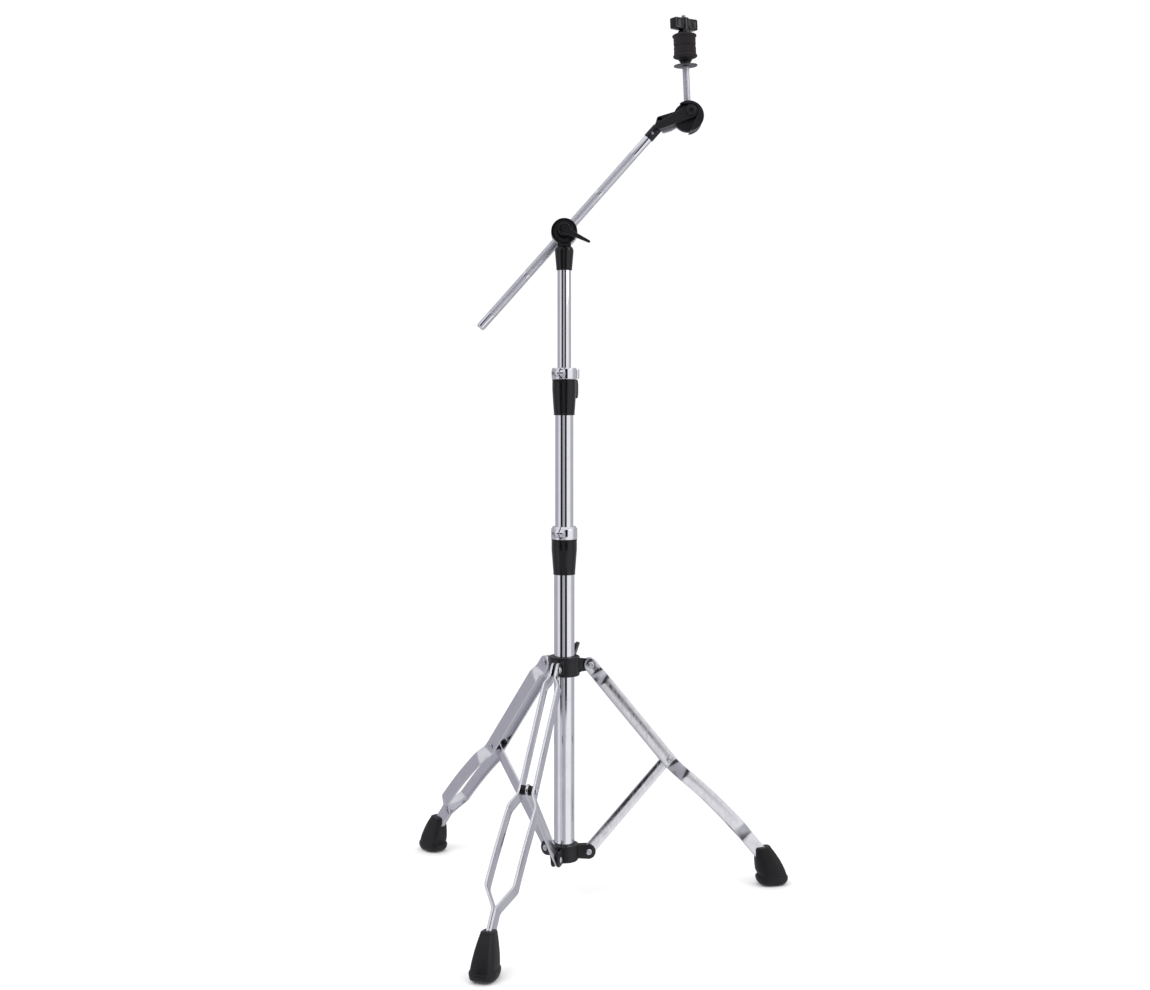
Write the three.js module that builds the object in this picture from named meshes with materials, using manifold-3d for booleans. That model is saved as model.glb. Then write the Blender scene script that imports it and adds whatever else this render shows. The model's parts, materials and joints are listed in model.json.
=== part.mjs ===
// Cymbal boom stand: a folding tripod, two telescoping tubes, a boom clamp, a boom arm and a cymbal tilter.
// Millimetres, +Z up. Every piece is one closed solid in its own named mesh.
import * as THREE from "three";
import { mergeVertices } from "three/addons/utils/BufferGeometryUtils.js";
import { ConvexGeometry } from "three/addons/geometries/ConvexGeometry.js";
import Module from "manifold-3d";

const wasm = await Module();
wasm.setup();

// ---- driving dimensions
const gap = 0.3; // between pieces that touch or slide on each other
const openPivotSlack = 1.0; // extra radius in the strips' holes at the leg bracket
const linkagePlay = 0.75; // side play there, taken up as the legs fold
const degree = Math.PI / 180;
const roundSegments = 24;
const mediumSegments = 16;
const smallSegments = 10;
const through = 60; // longer than any hole or trim needs
const edgeBreak = 1.5; // chamfer on turned castings and mouldings

const wall = 1.2; // of every tube
const tubeFit = 0.4; // side play of a tube in the next one down
const upperTube = { radius: 9.525, length: 378 };
const middleTube = { radius: 12.7, length: 428 };
const baseTube = { radius: middleTube.radius + tubeFit + wall, length: 417 };

const linkage = {
  lowerRadius: 34, // brace pivot from the mast axis
  upperRadius: 37, // leg pivot from the mast axis
  midRadius: 149, // knee pivot from the mast axis
  braceLength: 169,
  legLength: 177, // leg pivot to knee pivot
};
const legs = [
  { name: "right", azimuth: 12.1 },
  { name: "rear", azimuth: 132.1 },
  { name: "front", azimuth: 252.1 },
];

const strip = {
  width: 19,
  thickness: 3,
  midSpread: 9.8, // along the upper half and at the knee pivot
  lowSpread: 18.7, // along the lower half
  kneeBend: 10.7, // degrees, outwards just after the knee pivot
  kneeLength: 30,
  shinBend: 10, // degrees, back down towards the foot
  shinLength: 140,
  ankleLength: 44, // straight end that the rubber foot holds
  // where the two strips spread and close, along the leg
  bracketPinch: [15, 26], // from the leg pivot
  kneeFlare: [9, 27], // from the knee pivot
  anklePinch: [80, 52], // from the leg's end
  overrun: 20,
};
const brace = { width: 16, thickness: 3.3, slack: 0.35 };
const rivet = { shank: 2.5, head: 4.2, headHeight: 1.9 };
const spacer = { radius: 6.5 };

const foot = {
  legHeight: 33.8262, // the strips' end above the floor
  length: 46,
  width: 35,
  height: 54,
  soleHeight: 12,
  topWall: 2, // round the strips, at the top
  topWidth: 18,
  lean: 13, // the top's centre is this far nearer the mast than the sole's centre
  beyondLeg: 7, // the sole's centre, outside the leg's end
  tread: { length: 28, width: 24 }, // flat patch on the floor
  curl: [{ length: 39, width: 31, height: 2.5 }, { length: 45, width: 34.5, height: 7 }], // ends rise
  waist: { length: 33, width: 27, height: 32.4, lean: 5.85 },
  chamfer: 8,
  topChamfer: 4,
  ledge: 2, // the upper body stands this far inside the sole
};

const legBracket = { height: 27, wall: 6.6, boreSlack: 0.65, lug: 2.5, lugRadius: 8, lugTaper: 3 };
const braceBracket = {
  below: 10, // its underside, under the brace pivots
  height: 23,
  wall: 5.2,
  floor: 6,
  bevel: 2,
  drain: 5,
  ear: 3.4,
  earRadius: 10,
};
const boss = { radius: 7, reach: 5, legReach: 4 }; // the wing bolts screw into these

const lowerCollar = { bottomWall: 1.05, topWall: 5.3, height: 49, grip: 25, parallel: 12 };
const upperCollar = { bottomWall: 1.9, topWall: 7.475, height: 50, grip: 27, parallel: 12 };
const collarLip = 3.6; // rim that keeps the bushing in
const bushingWall = 2.2;
const lowerLock = { height: 17.7, wall: 5.6, bulge: 0 };
const upperLock = { height: 15.6, wall: 8.075, bulge: 4.5 };
const lockBevel = 2;
const lockKey = { azimuth: 252, earDepth: 5, earWidth: 12, slot: 2, shank: 2, head: 2.6, headLength: 5 };

const wing = { span: 27, reach: 15, thickness: 5, tipRadius: 4, hubRadius: 5.5, hubLength: 6, shank: 3 };
const legWing = { azimuth: 72.1, height: 4, tilt: 20, span: 50 }; // height above the leg bracket's middle
const lowerWing = { azimuth: 92 };
const upperWing = { azimuth: 62 };

const boom = {
  angle: 48.4, // degrees above level
  radius: 6.35,
  back: 20, // the arm runs this far behind the mast axis
  tail: 179.5, // from the clamp axis down to the arm's lower tip
  reach: 178, // from the clamp axis up to the tilter's socket
  spigotRadius: 5,
  spigotLength: 16,
  tipChamfer: 2.2,
  tipLength: 3,
};
const clamp = {
  height: 35.3, // clamp axis above the upper tube's top
  socketBottomWall: 1.475,
  socketTopWall: 3.675,
  socketBelow: 19, // socket's rim below the tube's top
  socketAbove: 10, // socket's shoulder above the tube's top
  neckWidth: 19,
  drumRadius: 18.25,
  drumFront: 8, // fixed drum's face in front of the mast axis
  drumBack: 10.5,
  drumBevel: 2,
  neckTop: -6,
  shoulderHeight: 4.5,
  shoulderInset: 3.4,
  turningRadius: 18.75,
  turningBack: 30.5,
  eyeWall: 2.2,
  eyeLength: 9,
  boltRadius: 3.9,
  boltFront: 29,
};
const lever = {
  angle: -26.2,
  hubRadius: 8.6,
  hubFront: 34,
  length: 40,
  rootWidth: 7.5,
  tipWidth: 3.6,
  armSet: 3, // behind the hub's face
  armThickness: 6,
  flareLength: 4,
  dishWall: 2.2,
};

const tilter = {
  pivotAlong: 244.1, // pivot along the boom arm, from the clamp axis
  pivotBelow: 20.4, // pivot off the arm's axis, on its under side
  socketRadius: 7.3,
  socketLength: 19,
  cheekOuter: 18.5, // cheek's outer face from the arm's middle plane
  cheekThickness: 13,
  cheekRadius: 9.5,
  elbow: { along: 199, above: -1, radius: 5.5 },
  rearElbow: { along: 207, above: 2.5, radius: 6.8 },
  lean: -2.5, // degrees, the rod's lean at rest
  tiltBack: -25,
  tiltForward: 40,
  rearRise: 12, // degrees, the rear cheek stands higher than the front one
  screwAlong: 8.4, // set screw, from the socket's mouth
  screwRadius: 2,
};
const head = { radius: 21.25, halfDepth: 19, coreHalf: 5, across: -3.6, along: -6.65 };
const tilterBolt = { shank: 3, head: 7, headHeight: 5.2, socket: 2.6, socketFloor: 2 };
const tilterLever = {
  angle: 210,
  length: 44.5,
  hubRadius: 7.5,
  hubLength: 11,
  rootHalf: 6,
  tipHalf: 3.5,
  thickness: 5,
};

const rod = { radius: 4.7, thread: 3, tang: 2.9, tangStart: 11, start: 20.2, seat: 72.2, top: 144.9 };
const seat = { radius: 16.75, thickness: 1.5 };
const sleeve = {
  footRadius: 7.7,
  footHeight: 4.2,
  coneHeight: 5.3,
  flangeRadius: 11,
  tubeRadius: 5.8,
  belowNut: 5,
};
const felt = { height: 16.5, bodyRadius: 15.7, rimRadius: 17.1, rimHeight: 4.5 };
const nut = {
  height: 22.6,
  flangeRadius: 9.5,
  flangeHeight: 2.5,
  hubRadius: 7.2,
  hubStart: 6,
  span: 42,
  wingHeight: 14,
  wingThickness: 12,
  wingDrop: 1, // the wings' top edge below the hub's
  turn: 38,
};

// ---- materials
const finish = (color, roughness, metalness) =>
  new THREE.MeshStandardMaterial({ color, roughness, metalness });
const chrome = finish(0xd6d8de, 0.12, 1);
const satinSteel = finish(0xb4b6bd, 0.4, 1);
const blackPlastic = finish(0x141416, 0.28, 0);
const blackCasting = finish(0x1c1d20, 0.35, 0.2);
const rubber = finish(0x17181a, 0.7, 0);
const feltCloth = finish(0x1d1c1e, 0.95, 0);
const nylon = finish(0x161616, 0.55, 0);

// ---- solids
const asSolid = (geometry) => {
  const bare = (geometry.index ? geometry.toNonIndexed() : geometry.clone());
  bare.deleteAttribute("normal");
  bare.deleteAttribute("uv");
  const merged = mergeVertices(bare, 1e-4);
  return new wasm.Manifold(new wasm.Mesh({
    numProp: 3,
    vertProperties: merged.attributes.position.array,
    triVerts: new Uint32Array(merged.index.array),
  }));
};

const asGeometry = (solid) => {
  const mesh = solid.getMesh();
  const geometry = new THREE.BufferGeometry();
  geometry.setAttribute("position", new THREE.BufferAttribute(mesh.vertProperties, 3));
  geometry.setIndex(new THREE.BufferAttribute(mesh.triVerts, 1));
  return geometry;
};

const join = (...geometries) => asGeometry(geometries.map(asSolid).reduce((a, b) => a.add(b)));
const cut = (geometry, ...tools) =>
  asGeometry(tools.map(asSolid).reduce((a, b) => a.subtract(b), asSolid(geometry)));
const common = (a, b) => asGeometry(asSolid(a).intersect(asSolid(b)));

// A profile of [radius, height] points turned about Z. A profile that is off the axis closes on itself.
const turned = (profile, segments = roundSegments) => {
  const closed = profile[0][0] > 0 || profile.at(-1)[0] > 0 ? [...profile, profile[0]] : profile;
  const points = closed.map(([r, z]) => new THREE.Vector2(r, z));
  return new THREE.LatheGeometry(points, segments).rotateX(Math.PI / 2);
};
const ring = (inner, outer, bottom, top, segments) =>
  turned([[inner, bottom], [outer, bottom], [outer, top], [inner, top]], segments);
const rodAlongZ = (radius, bottom, top, segments) =>
  turned([[0, bottom], [radius, bottom], [radius, top], [0, top]], segments);
// The same turned shapes laid along +Y (away from the front) or along +X.
const alongY = (geometry) => geometry.rotateX(-Math.PI / 2);
const alongX = (geometry) => geometry.rotateY(Math.PI / 2);
const pinAcross = (radius, from, to, segments = smallSegments) =>
  alongY(rodAlongZ(radius, from, to, segments));
const holeAcross = (radius) => pinAcross(radius, -through, through);
const moved = (geometry, x, y, z) => geometry.translate(x, y, z);
const block = (x0, x1, y0, y1, z0, z1) =>
  new THREE.BoxGeometry(x1 - x0, y1 - y0, z1 - z0).translate((x0 + x1) / 2, (y0 + y1) / 2, (z0 + z1) / 2);

// A flat outline in (x, z), thick along Y from yFrom to yTo.
const plate = (shape, yFrom, yTo, curveSegments = 3) =>
  new THREE.ExtrudeGeometry(shape, { depth: yTo - yFrom, bevelEnabled: false, curveSegments })
    .rotateX(Math.PI / 2).translate(0, yTo, 0);

// The outline round two circles and the straight lines that touch both.
const linkShape = (ax, az, ra, bx, bz, rb) => {
  const heading = Math.atan2(bz - az, bx - ax);
  const spread = Math.acos((ra - rb) / Math.hypot(bx - ax, bz - az));
  const shape = new THREE.Shape();
  shape.absarc(ax, az, ra, heading + spread, heading - spread + 2 * Math.PI, false);
  shape.absarc(bx, bz, rb, heading - spread, heading + spread, false);
  shape.closePath();
  return shape;
};

// A centre line of [x, y] points widened by half to each side.
const bandShape = (points, half) => {
  const at = points.map(([x, y]) => new THREE.Vector2(x, y));
  const side = (sign) => at.map((p, i) => {
    const before = at[Math.max(i - 1, 0)], after = at[Math.min(i + 1, at.length - 1)];
    const along = after.clone().sub(before).normalize();
    return new THREE.Vector2(p.x - sign * half * along.y, p.y + sign * half * along.x);
  });
  return new THREE.Shape([...side(-1), ...side(1).reverse()]);
};

const stand = new THREE.Group();
const mast = new THREE.Group(); // its origin is on the floor, on the mast axis
stand.add(mast);

const addPiece = (parent, name, geometry, material) => {
  const mesh = new THREE.Mesh(geometry, material);
  mesh.name = name;
  parent.add(mesh);
  return mesh;
};
const addFrame = (parent, name, x = 0, y = 0, z = 0) => {
  const frame = new THREE.Group();
  frame.name = name;
  frame.position.set(x, y, z);
  parent.add(frame);
  return frame;
};

// ---- sizes and heights that follow from the ones above
const topSpread = legBracket.lug / 2 + linkagePlay + strip.thickness / 2; // strip from the leg's middle plane
const footSpread = strip.thickness / 2 + gap; // where the two strips lie together
const braceRise = Math.sqrt(linkage.braceLength ** 2 - (linkage.midRadius - linkage.lowerRadius) ** 2);
const legRise = Math.sqrt(linkage.legLength ** 2 - (linkage.midRadius - linkage.upperRadius) ** 2);

// Centre line of a leg strip in the leg's plane, from the leg pivot to the end inside the foot.
const legLine = (knee) => {
  const points = [[linkage.upperRadius, knee + legRise], [linkage.midRadius, knee]];
  let [r, z] = points[1];
  let angle = Math.atan2(legRise, linkage.midRadius - linkage.upperRadius);
  const walk = (length, turn, steps) => {
    for (let i = 0; i < steps; i++) {
      const middle = angle + turn / steps / 2;
      r += (length / steps) * Math.cos(middle);
      z -= (length / steps) * Math.sin(middle);
      angle += turn / steps;
      points.push([r, z]);
    }
  };
  walk(strip.kneeLength, -strip.kneeBend * degree, 3);
  walk(strip.shinLength, strip.shinBend * degree, 5);
  walk(strip.ankleLength, 0, 1);
  return points;
};
const kneeHeight = foot.legHeight - legLine(0).at(-1)[1];
const legPivotHeight = kneeHeight + legRise;
const bracePivotHeight = kneeHeight - braceRise;
const braceBracketBottom = bracePivotHeight - braceBracket.below;
const baseTubeBottom = braceBracketBottom + braceBracket.floor;
const baseTubeTop = baseTubeBottom + baseTube.length;
const lowerCollarBottom = baseTubeTop - lowerCollar.grip;
const lowerCollarTop = lowerCollarBottom + lowerCollar.height;
const lowerLockTop = lowerCollarTop + gap + lowerLock.height;
const middleShown = 155; // between the lower lock and the upper collar
const upperCollarBottom = lowerLockTop + middleShown;
const middleTubeTop = upperCollarBottom + upperCollar.grip;
const upperCollarTop = upperCollarBottom + upperCollar.height;
const upperLockTop = upperCollarTop + gap + upperLock.height;
const upperShown = 136; // between the upper lock and the clamp sleeve
const clampBottom = upperLockTop + upperShown;
const upperTubeTop = clampBottom + clamp.socketBelow;
const clampHeight = upperTubeTop + clamp.height;

// ---- legs and braces
const legPath = legLine(kneeHeight);
const legEnd = legPath.at(-1);
const chordAngle = Math.atan2(legPivotHeight - legEnd[1], legEnd[0] - linkage.upperRadius);
const alongChord = ([r, z]) =>
  (r - linkage.upperRadius) * Math.cos(chordAngle) + (legPivotHeight - z) * Math.sin(chordAngle);

const legSolid = (side) => {
  const half = strip.width / 2;
  const outline = plate(bandShape(legPath, half), -through, through);
  const roundEnd = pinAcross(half, -through, through, mediumSegments);
  const sideView = join(outline, moved(roundEnd, linkage.upperRadius, 0, legPivotHeight));
  const knee = alongChord(legPath[1]);
  const end = alongChord(legEnd) + 5;
  const { midSpread, lowSpread, bracketPinch, kneeFlare, anklePinch, overrun } = strip;
  const spreads = [
    [-overrun, topSpread], [bracketPinch[0], topSpread], [bracketPinch[1], midSpread],
    [knee + kneeFlare[0], midSpread], [knee + kneeFlare[1], lowSpread],
    [end - anklePinch[0], lowSpread], [end - anklePinch[1], footSpread], [end, footSpread],
  ];
  const topView = new THREE.ExtrudeGeometry(
    bandShape(spreads.map(([u, spread]) => [u, side * spread]), strip.thickness / 2),
    { depth: 2 * through, bevelEnabled: false },
  ).translate(0, 0, -through);
  const chord = new THREE.Vector3(Math.cos(chordAngle), 0, -Math.sin(chordAngle));
  const across = new THREE.Vector3(0, 1, 0);
  topView.applyMatrix4(new THREE.Matrix4().makeBasis(chord, across, chord.clone().cross(across)));
  topView.translate(linkage.upperRadius, 0, legPivotHeight);
  const pivotHole = holeAcross(rivet.shank + openPivotSlack);
  const kneeHole = holeAcross(rivet.shank + gap);
  return cut(
    common(sideView, topView),
    moved(pivotHole, linkage.upperRadius, 0, legPivotHeight),
    moved(kneeHole, linkage.midRadius, 0, kneeHeight),
  );
};

const headedPin = (shank, head, headHeight, from, to) => alongY(turned([
  [0, from - headHeight], [head, from - headHeight], [head, from], [shank, from],
  [shank, to], [head, to], [head, to + headHeight], [0, to + headHeight],
], smallSegments));

const footSolid = () => {
  const soleCentre = legEnd[0] + foot.beyondLeg;
  const corners = (centre, length, width, height, chamfer) => {
    const x0 = centre - length / 2, x1 = centre + length / 2, y1 = width / 2;
    return [
      [x0 + chamfer, -y1], [x1 - chamfer, -y1], [x1, -y1 + chamfer], [x1, y1 - chamfer],
      [x1 - chamfer, y1], [x0 + chamfer, y1], [x0, y1 - chamfer], [x0, -y1 + chamfer],
    ].map(([x, y]) => new THREE.Vector3(x, y, height));
  };
  const { length, width, height, soleHeight, tread, waist, chamfer, topChamfer, ledge } = foot;
  const topLength = strip.width + 2 * foot.topWall;
  const upperBody = new ConvexGeometry([
    ...corners(soleCentre, length - ledge, width - 2 * ledge, soleHeight - 1, chamfer),
    ...corners(soleCentre - waist.lean, waist.length, waist.width, waist.height, chamfer - ledge),
    ...corners(soleCentre - foot.lean, topLength, foot.topWidth, height, topChamfer),
  ]);
  const sole = new ConvexGeometry([
    ...corners(soleCentre, tread.length, tread.width, 0, chamfer - ledge),
    ...foot.curl.flatMap((band) => corners(soleCentre, band.length, band.width, band.height, chamfer)),
    ...corners(soleCentre, length, width, soleHeight, chamfer),
  ]);
  const pocketHalf = footSpread + strip.thickness / 2 + gap;
  const pocket = plate(bandShape(legPath.slice(-3), strip.width / 2 + gap), -pocketHalf, pocketHalf);
  const pocketEnd = pinAcross(strip.width / 2 + gap, -pocketHalf, pocketHalf);
  return cut(join(upperBody, sole), pocket, moved(pocketEnd, legEnd[0], 0, legEnd[1]));
};

const braceSolid = () => {
  const half = brace.width / 2;
  const shape = linkShape(
    linkage.lowerRadius, bracePivotHeight, half, linkage.midRadius, kneeHeight, half);
  return cut(
    plate(shape, -brace.thickness / 2, brace.thickness / 2),
    moved(holeAcross(rivet.shank + gap), linkage.lowerRadius, 0, bracePivotHeight),
    moved(holeAcross(rivet.shank + gap), linkage.midRadius, 0, kneeHeight),
  );
};

const spacerStart = brace.thickness / 2 + gap;
const spacerEnd = strip.midSpread - strip.thickness / 2 - gap;
const stripOuter = (spread, play) => spread + strip.thickness / 2 + play;
const earInner = brace.thickness / 2 + brace.slack;
const earOuter = earInner + braceBracket.ear;

for (const leg of legs) {
  const frame = addFrame(mast, `leg_frame_${leg.name}`);
  frame.rotation.z = leg.azimuth * degree;
  addPiece(frame, `leg_strip_left_${leg.name}`, legSolid(1), chrome);
  addPiece(frame, `leg_strip_right_${leg.name}`, legSolid(-1), chrome);
  addPiece(frame, `brace_${leg.name}`, braceSolid(), chrome);
  addPiece(frame, `foot_${leg.name}`, footSolid(), rubber);
  const kneeReach = stripOuter(strip.midSpread, gap);
  const kneePin = headedPin(rivet.shank, rivet.head, rivet.headHeight, -kneeReach, kneeReach);
  addPiece(frame, `knee_rivet_${leg.name}`, moved(kneePin, linkage.midRadius, 0, kneeHeight), satinSteel);
  const spacers = [["left", spacerStart, spacerEnd], ["right", -spacerEnd, -spacerStart]];
  for (const [sideName, from, to] of spacers) {
    const bush = alongY(ring(rivet.shank + gap, spacer.radius, from, to, smallSegments));
    addPiece(frame, `spacer_${sideName}_${leg.name}`, moved(bush, linkage.midRadius, 0, kneeHeight), nylon);
  }
  const footPin = headedPin(rivet.shank, rivet.head, rivet.headHeight, -earOuter - gap, earOuter + gap);
  addPiece(frame, `brace_rivet_${leg.name}`,
    moved(footPin, linkage.lowerRadius, 0, bracePivotHeight), satinSteel);
  const legPinReach = stripOuter(topSpread, linkagePlay);
  const legPin = headedPin(rivet.shank, rivet.head, rivet.headHeight, -legPinReach, legPinReach);
  const pinPlaced = moved(legPin, linkage.upperRadius, 0, legPivotHeight);
  addPiece(frame, `leg_bolt_${leg.name}`, pinPlaced, satinSteel);
  addFrame(frame, `leg_pivot_${leg.name}`, linkage.upperRadius, 0, legPivotHeight);
  addFrame(frame, `knee_pivot_${leg.name}`, linkage.midRadius, 0, kneeHeight);
  addFrame(frame, `brace_pivot_${leg.name}`, linkage.lowerRadius, 0, bracePivotHeight);
}

// ---- brackets on the base tube
const turnedTo = (geometry, azimuth) => geometry.rotateZ(azimuth * degree);

const braceBracketSolid = () => {
  const outer = baseTube.radius + gap + braceBracket.wall;
  const { height, earRadius } = braceBracket;
  const bottom = braceBracketBottom;
  const body = turned([
    [0, bottom], [outer - braceBracket.bevel, bottom], [outer, bottom + braceBracket.bevel],
    [outer, bottom + height - edgeBreak], [outer - edgeBreak, bottom + height], [0, bottom + height],
  ]);
  const ears = legs.flatMap((leg) => [-1, 1].map((side) => {
    const shape = linkShape(outer - braceBracket.wall, bottom + height / 2, height / 2 - braceBracket.bevel,
      linkage.lowerRadius, bracePivotHeight, earRadius);
    const inner = side * earInner, far = side * earOuter;
    return turnedTo(plate(shape, Math.min(inner, far), Math.max(inner, far)), leg.azimuth);
  }));
  const rivetHole = pinAcross(rivet.shank + gap, -2 * earOuter, 2 * earOuter)
    .translate(linkage.lowerRadius, 0, bracePivotHeight);
  const holes = legs.map((leg) => turnedTo(rivetHole.clone(), leg.azimuth));
  const socket = rodAlongZ(baseTube.radius + gap, baseTubeBottom - gap, bottom + height + 1);
  const drain = rodAlongZ(braceBracket.drain, bottom - 1, baseTubeBottom, smallSegments);
  return cut(join(body, ...ears), socket, drain, ...holes);
};

const legBracketSolid = () => {
  const inner = baseTube.radius + legBracket.boreSlack;
  const outer = inner + legBracket.wall;
  const half = legBracket.height / 2;
  const lugHalf = legBracket.lug / 2;
  const body = turned([
    [0, -half], [outer - edgeBreak, -half], [outer, -half + edgeBreak], [outer, half - edgeBreak],
    [outer - edgeBreak, half], [0, half],
  ]);
  const lugShape = linkShape(
    outer - legBracket.wall, 0, half - legBracket.lugTaper, linkage.upperRadius, 0, legBracket.lugRadius);
  const lugs = legs.map((leg) => turnedTo(plate(lugShape, -lugHalf, lugHalf), leg.azimuth));
  const holes = legs.map((leg) => turnedTo(
    moved(pinAcross(rivet.shank + gap, -2 * lugHalf, 2 * lugHalf), linkage.upperRadius, 0, 0), leg.azimuth));
  const bossAt = (radius, end) => turnedTo(
    moved(alongX(rodAlongZ(radius, 0, end, smallSegments)), 0, 0, legWing.height), legWing.azimuth);
  const bore = rodAlongZ(inner, -half - 1, half + 1);
  return cut(
    join(body, ...lugs, bossAt(boss.radius, outer + boss.legReach)),
    bore, bossAt(wing.shank + gap, outer + boss.legReach + 1), ...holes,
  );
};

// Wing bolt lying along +X: its tip is at x = tip and its wings start at x = seat.
const wingBoltSolid = (shankTip, seat, span, tilt) => {
  const start = seat + gap;
  const shank = alongX(rodAlongZ(wing.shank, shankTip, start + 1, smallSegments));
  const hub = alongX(turned([
    [0, start], [wing.hubRadius, start], [wing.hubRadius, start + wing.hubLength],
    [wing.hubRadius - 1.5, start + wing.hubLength + 3], [0, start + wing.hubLength + 3],
  ], smallSegments));
  const half = span / 2, tip = wing.tipRadius;
  const outline = new THREE.Shape();
  outline.moveTo(start + 2, -wing.hubRadius);
  outline.lineTo(start + wing.hubLength, -half);
  outline.absarc(start + wing.reach - tip, -half + tip, tip, -Math.PI / 2, 0, false);
  outline.lineTo(start + wing.reach, half - tip);
  outline.absarc(start + wing.reach - tip, half - tip, tip, 0, Math.PI / 2, false);
  outline.lineTo(start + wing.hubLength, half);
  outline.lineTo(start + 2, wing.hubRadius);
  outline.closePath();
  return join(shank, hub, plate(outline, -wing.thickness / 2, wing.thickness / 2)).rotateX(tilt * degree);
};

const wingOnBoss = (parent, name, place, height, tip, seat) => {
  const frame = addFrame(parent, `${name}_axis`, 0, 0, height);
  frame.rotation.z = place.azimuth * degree;
  addPiece(frame, name, wingBoltSolid(tip, seat, place.span ?? wing.span, place.tilt ?? 0), blackPlastic);
};

const tubeSolid = ({ radius, length }, top) => ring(radius - wall, radius, top - length, top);

addPiece(mast, "base_tube", tubeSolid(baseTube, baseTubeTop), chrome);
addPiece(mast, "brace_bracket", braceBracketSolid(), blackCasting);
const legBracketFrame = addFrame(mast, "leg_bracket_frame", 0, 0, legPivotHeight);
addPiece(legBracketFrame, "leg_bracket", legBracketSolid(), blackCasting);
const legBossFace = baseTube.radius + legBracket.boreSlack + legBracket.wall + boss.legReach;
const legWingTip = baseTube.radius + 2 * gap;
wingOnBoss(legBracketFrame, "leg_wing_bolt", legWing, legWing.height, legWingTip, legBossFace);

// ---- height collars and memory locks
// Tapered clamp shell on the top of one tube, with its bushing round the tube that slides in it.
const addCollar = (parent, prefix, size, outerTube, innerTube, bottom, wingPlace) => {
  const tubeTop = bottom + size.grip, top = bottom + size.height;
  const seatRadius = innerTube.radius + gap + bushingWall;
  const bushingTop = top - collarLip - gap;
  const wingHeight = (tubeTop + bushingTop) / 2;
  const bottomRadius = outerTube.radius + size.bottomWall, topRadius = innerTube.radius + size.topWall;
  const shell = turned([
    [0, bottom], [bottomRadius, bottom], [topRadius, top - size.parallel],
    [topRadius, top - edgeBreak], [topRadius - edgeBreak, top], [0, top],
  ]);
  const bossFace = topRadius + boss.reach;
  const bossAt = (radius, end) => turnedTo(
    moved(alongX(rodAlongZ(radius, 0, end, smallSegments)), 0, 0, wingHeight), wingPlace.azimuth);
  const bore = turned([
    [0, bottom - 1], [outerTube.radius + gap, bottom - 1], [outerTube.radius + gap, tubeTop + gap],
    [seatRadius + gap, tubeTop + gap], [seatRadius + gap, bushingTop + gap],
    [innerTube.radius + 2 * gap, bushingTop + gap], [innerTube.radius + 2 * gap, top + 1], [0, top + 1],
  ]);
  addPiece(parent, `${prefix}_collar`, cut(
    join(shell, bossAt(boss.radius, bossFace)), bore, bossAt(wing.shank + gap, bossFace + 1)), blackPlastic);
  addPiece(parent, `${prefix}_bushing`,
    ring(innerTube.radius + gap, seatRadius, tubeTop + 2 * gap, bushingTop), nylon);
  wingOnBoss(parent, `${prefix}_wing_bolt`, wingPlace, wingHeight, seatRadius + 3 * gap, bossFace);
};

// Split ring with a clamping ear and a square-headed key bolt across the split.
const addMemoryLock = (parent, prefix, size, tube, bottom) => {
  const top = bottom + size.height, middle = (bottom + top) / 2;
  const inner = tube.radius + gap, outer = tube.radius + size.wall;
  const body = turned([
    [0, bottom], [outer, bottom], [outer, top - lockBevel],
    [outer - lockBevel, top], [0, top],
  ]);
  const earEnd = outer + lockKey.earDepth;
  const halfEar = lockKey.earWidth / 2;
  const ear = turnedTo(
    block(inner + 1, earEnd, -halfEar, halfEar, bottom + lockBevel, top - lockBevel - 1), lockKey.azimuth);
  const slot = turnedTo(
    block(0, earEnd + 1, -lockKey.slot / 2, lockKey.slot / 2, bottom - 1, top + 1), lockKey.azimuth);
  const boltRadius = (outer + earEnd) / 2;
  const hole = turnedTo(
    moved(pinAcross(lockKey.shank + gap, -2 * halfEar, 2 * halfEar), boltRadius, 0, middle), lockKey.azimuth);
  const parts = [body, ear];
  if (size.bulge) {
    parts.push(moved(rodAlongZ(size.bulge, bottom, top - lockBevel, smallSegments), outer - 1, 0, 0));
  }
  const ringSolid = cut(join(...parts), rodAlongZ(inner, bottom - 1, top + 1), slot, hole);
  addPiece(parent, `${prefix}_memory_lock`, ringSolid, chrome);
  const squareHalf = lockKey.head;
  const keyHead = block(boltRadius - squareHalf, boltRadius + squareHalf,
    -halfEar - lockKey.headLength, -halfEar - gap, middle - squareHalf, middle + squareHalf);
  const shank = moved(pinAcross(lockKey.shank, -halfEar - 1, halfEar + edgeBreak), boltRadius, 0, middle);
  addPiece(parent, `${prefix}_key_bolt`, turnedTo(join(keyHead, shank), lockKey.azimuth), satinSteel);
};

addCollar(mast, "lower", lowerCollar, baseTube, middleTube, lowerCollarBottom, lowerWing);
addMemoryLock(mast, "lower", lowerLock, middleTube, lowerCollarTop + gap);
addPiece(mast, "middle_tube", tubeSolid(middleTube, middleTubeTop), chrome);
addCollar(mast, "upper", upperCollar, middleTube, upperTube, upperCollarBottom, upperWing);
addMemoryLock(mast, "upper", upperLock, upperTube, upperCollarTop + gap);
addPiece(mast, "upper_tube", tubeSolid(upperTube, upperTubeTop), chrome);

// ---- boom clamp
const clampFrame = addFrame(mast, "clamp_axis", 0, 0, clampHeight);
const armFrame = addFrame(clampFrame, "boom_axis", 0, boom.back, 0);
armFrame.rotation.y = -boom.angle * degree; // +X runs up the arm, +Z is its upper side

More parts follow.
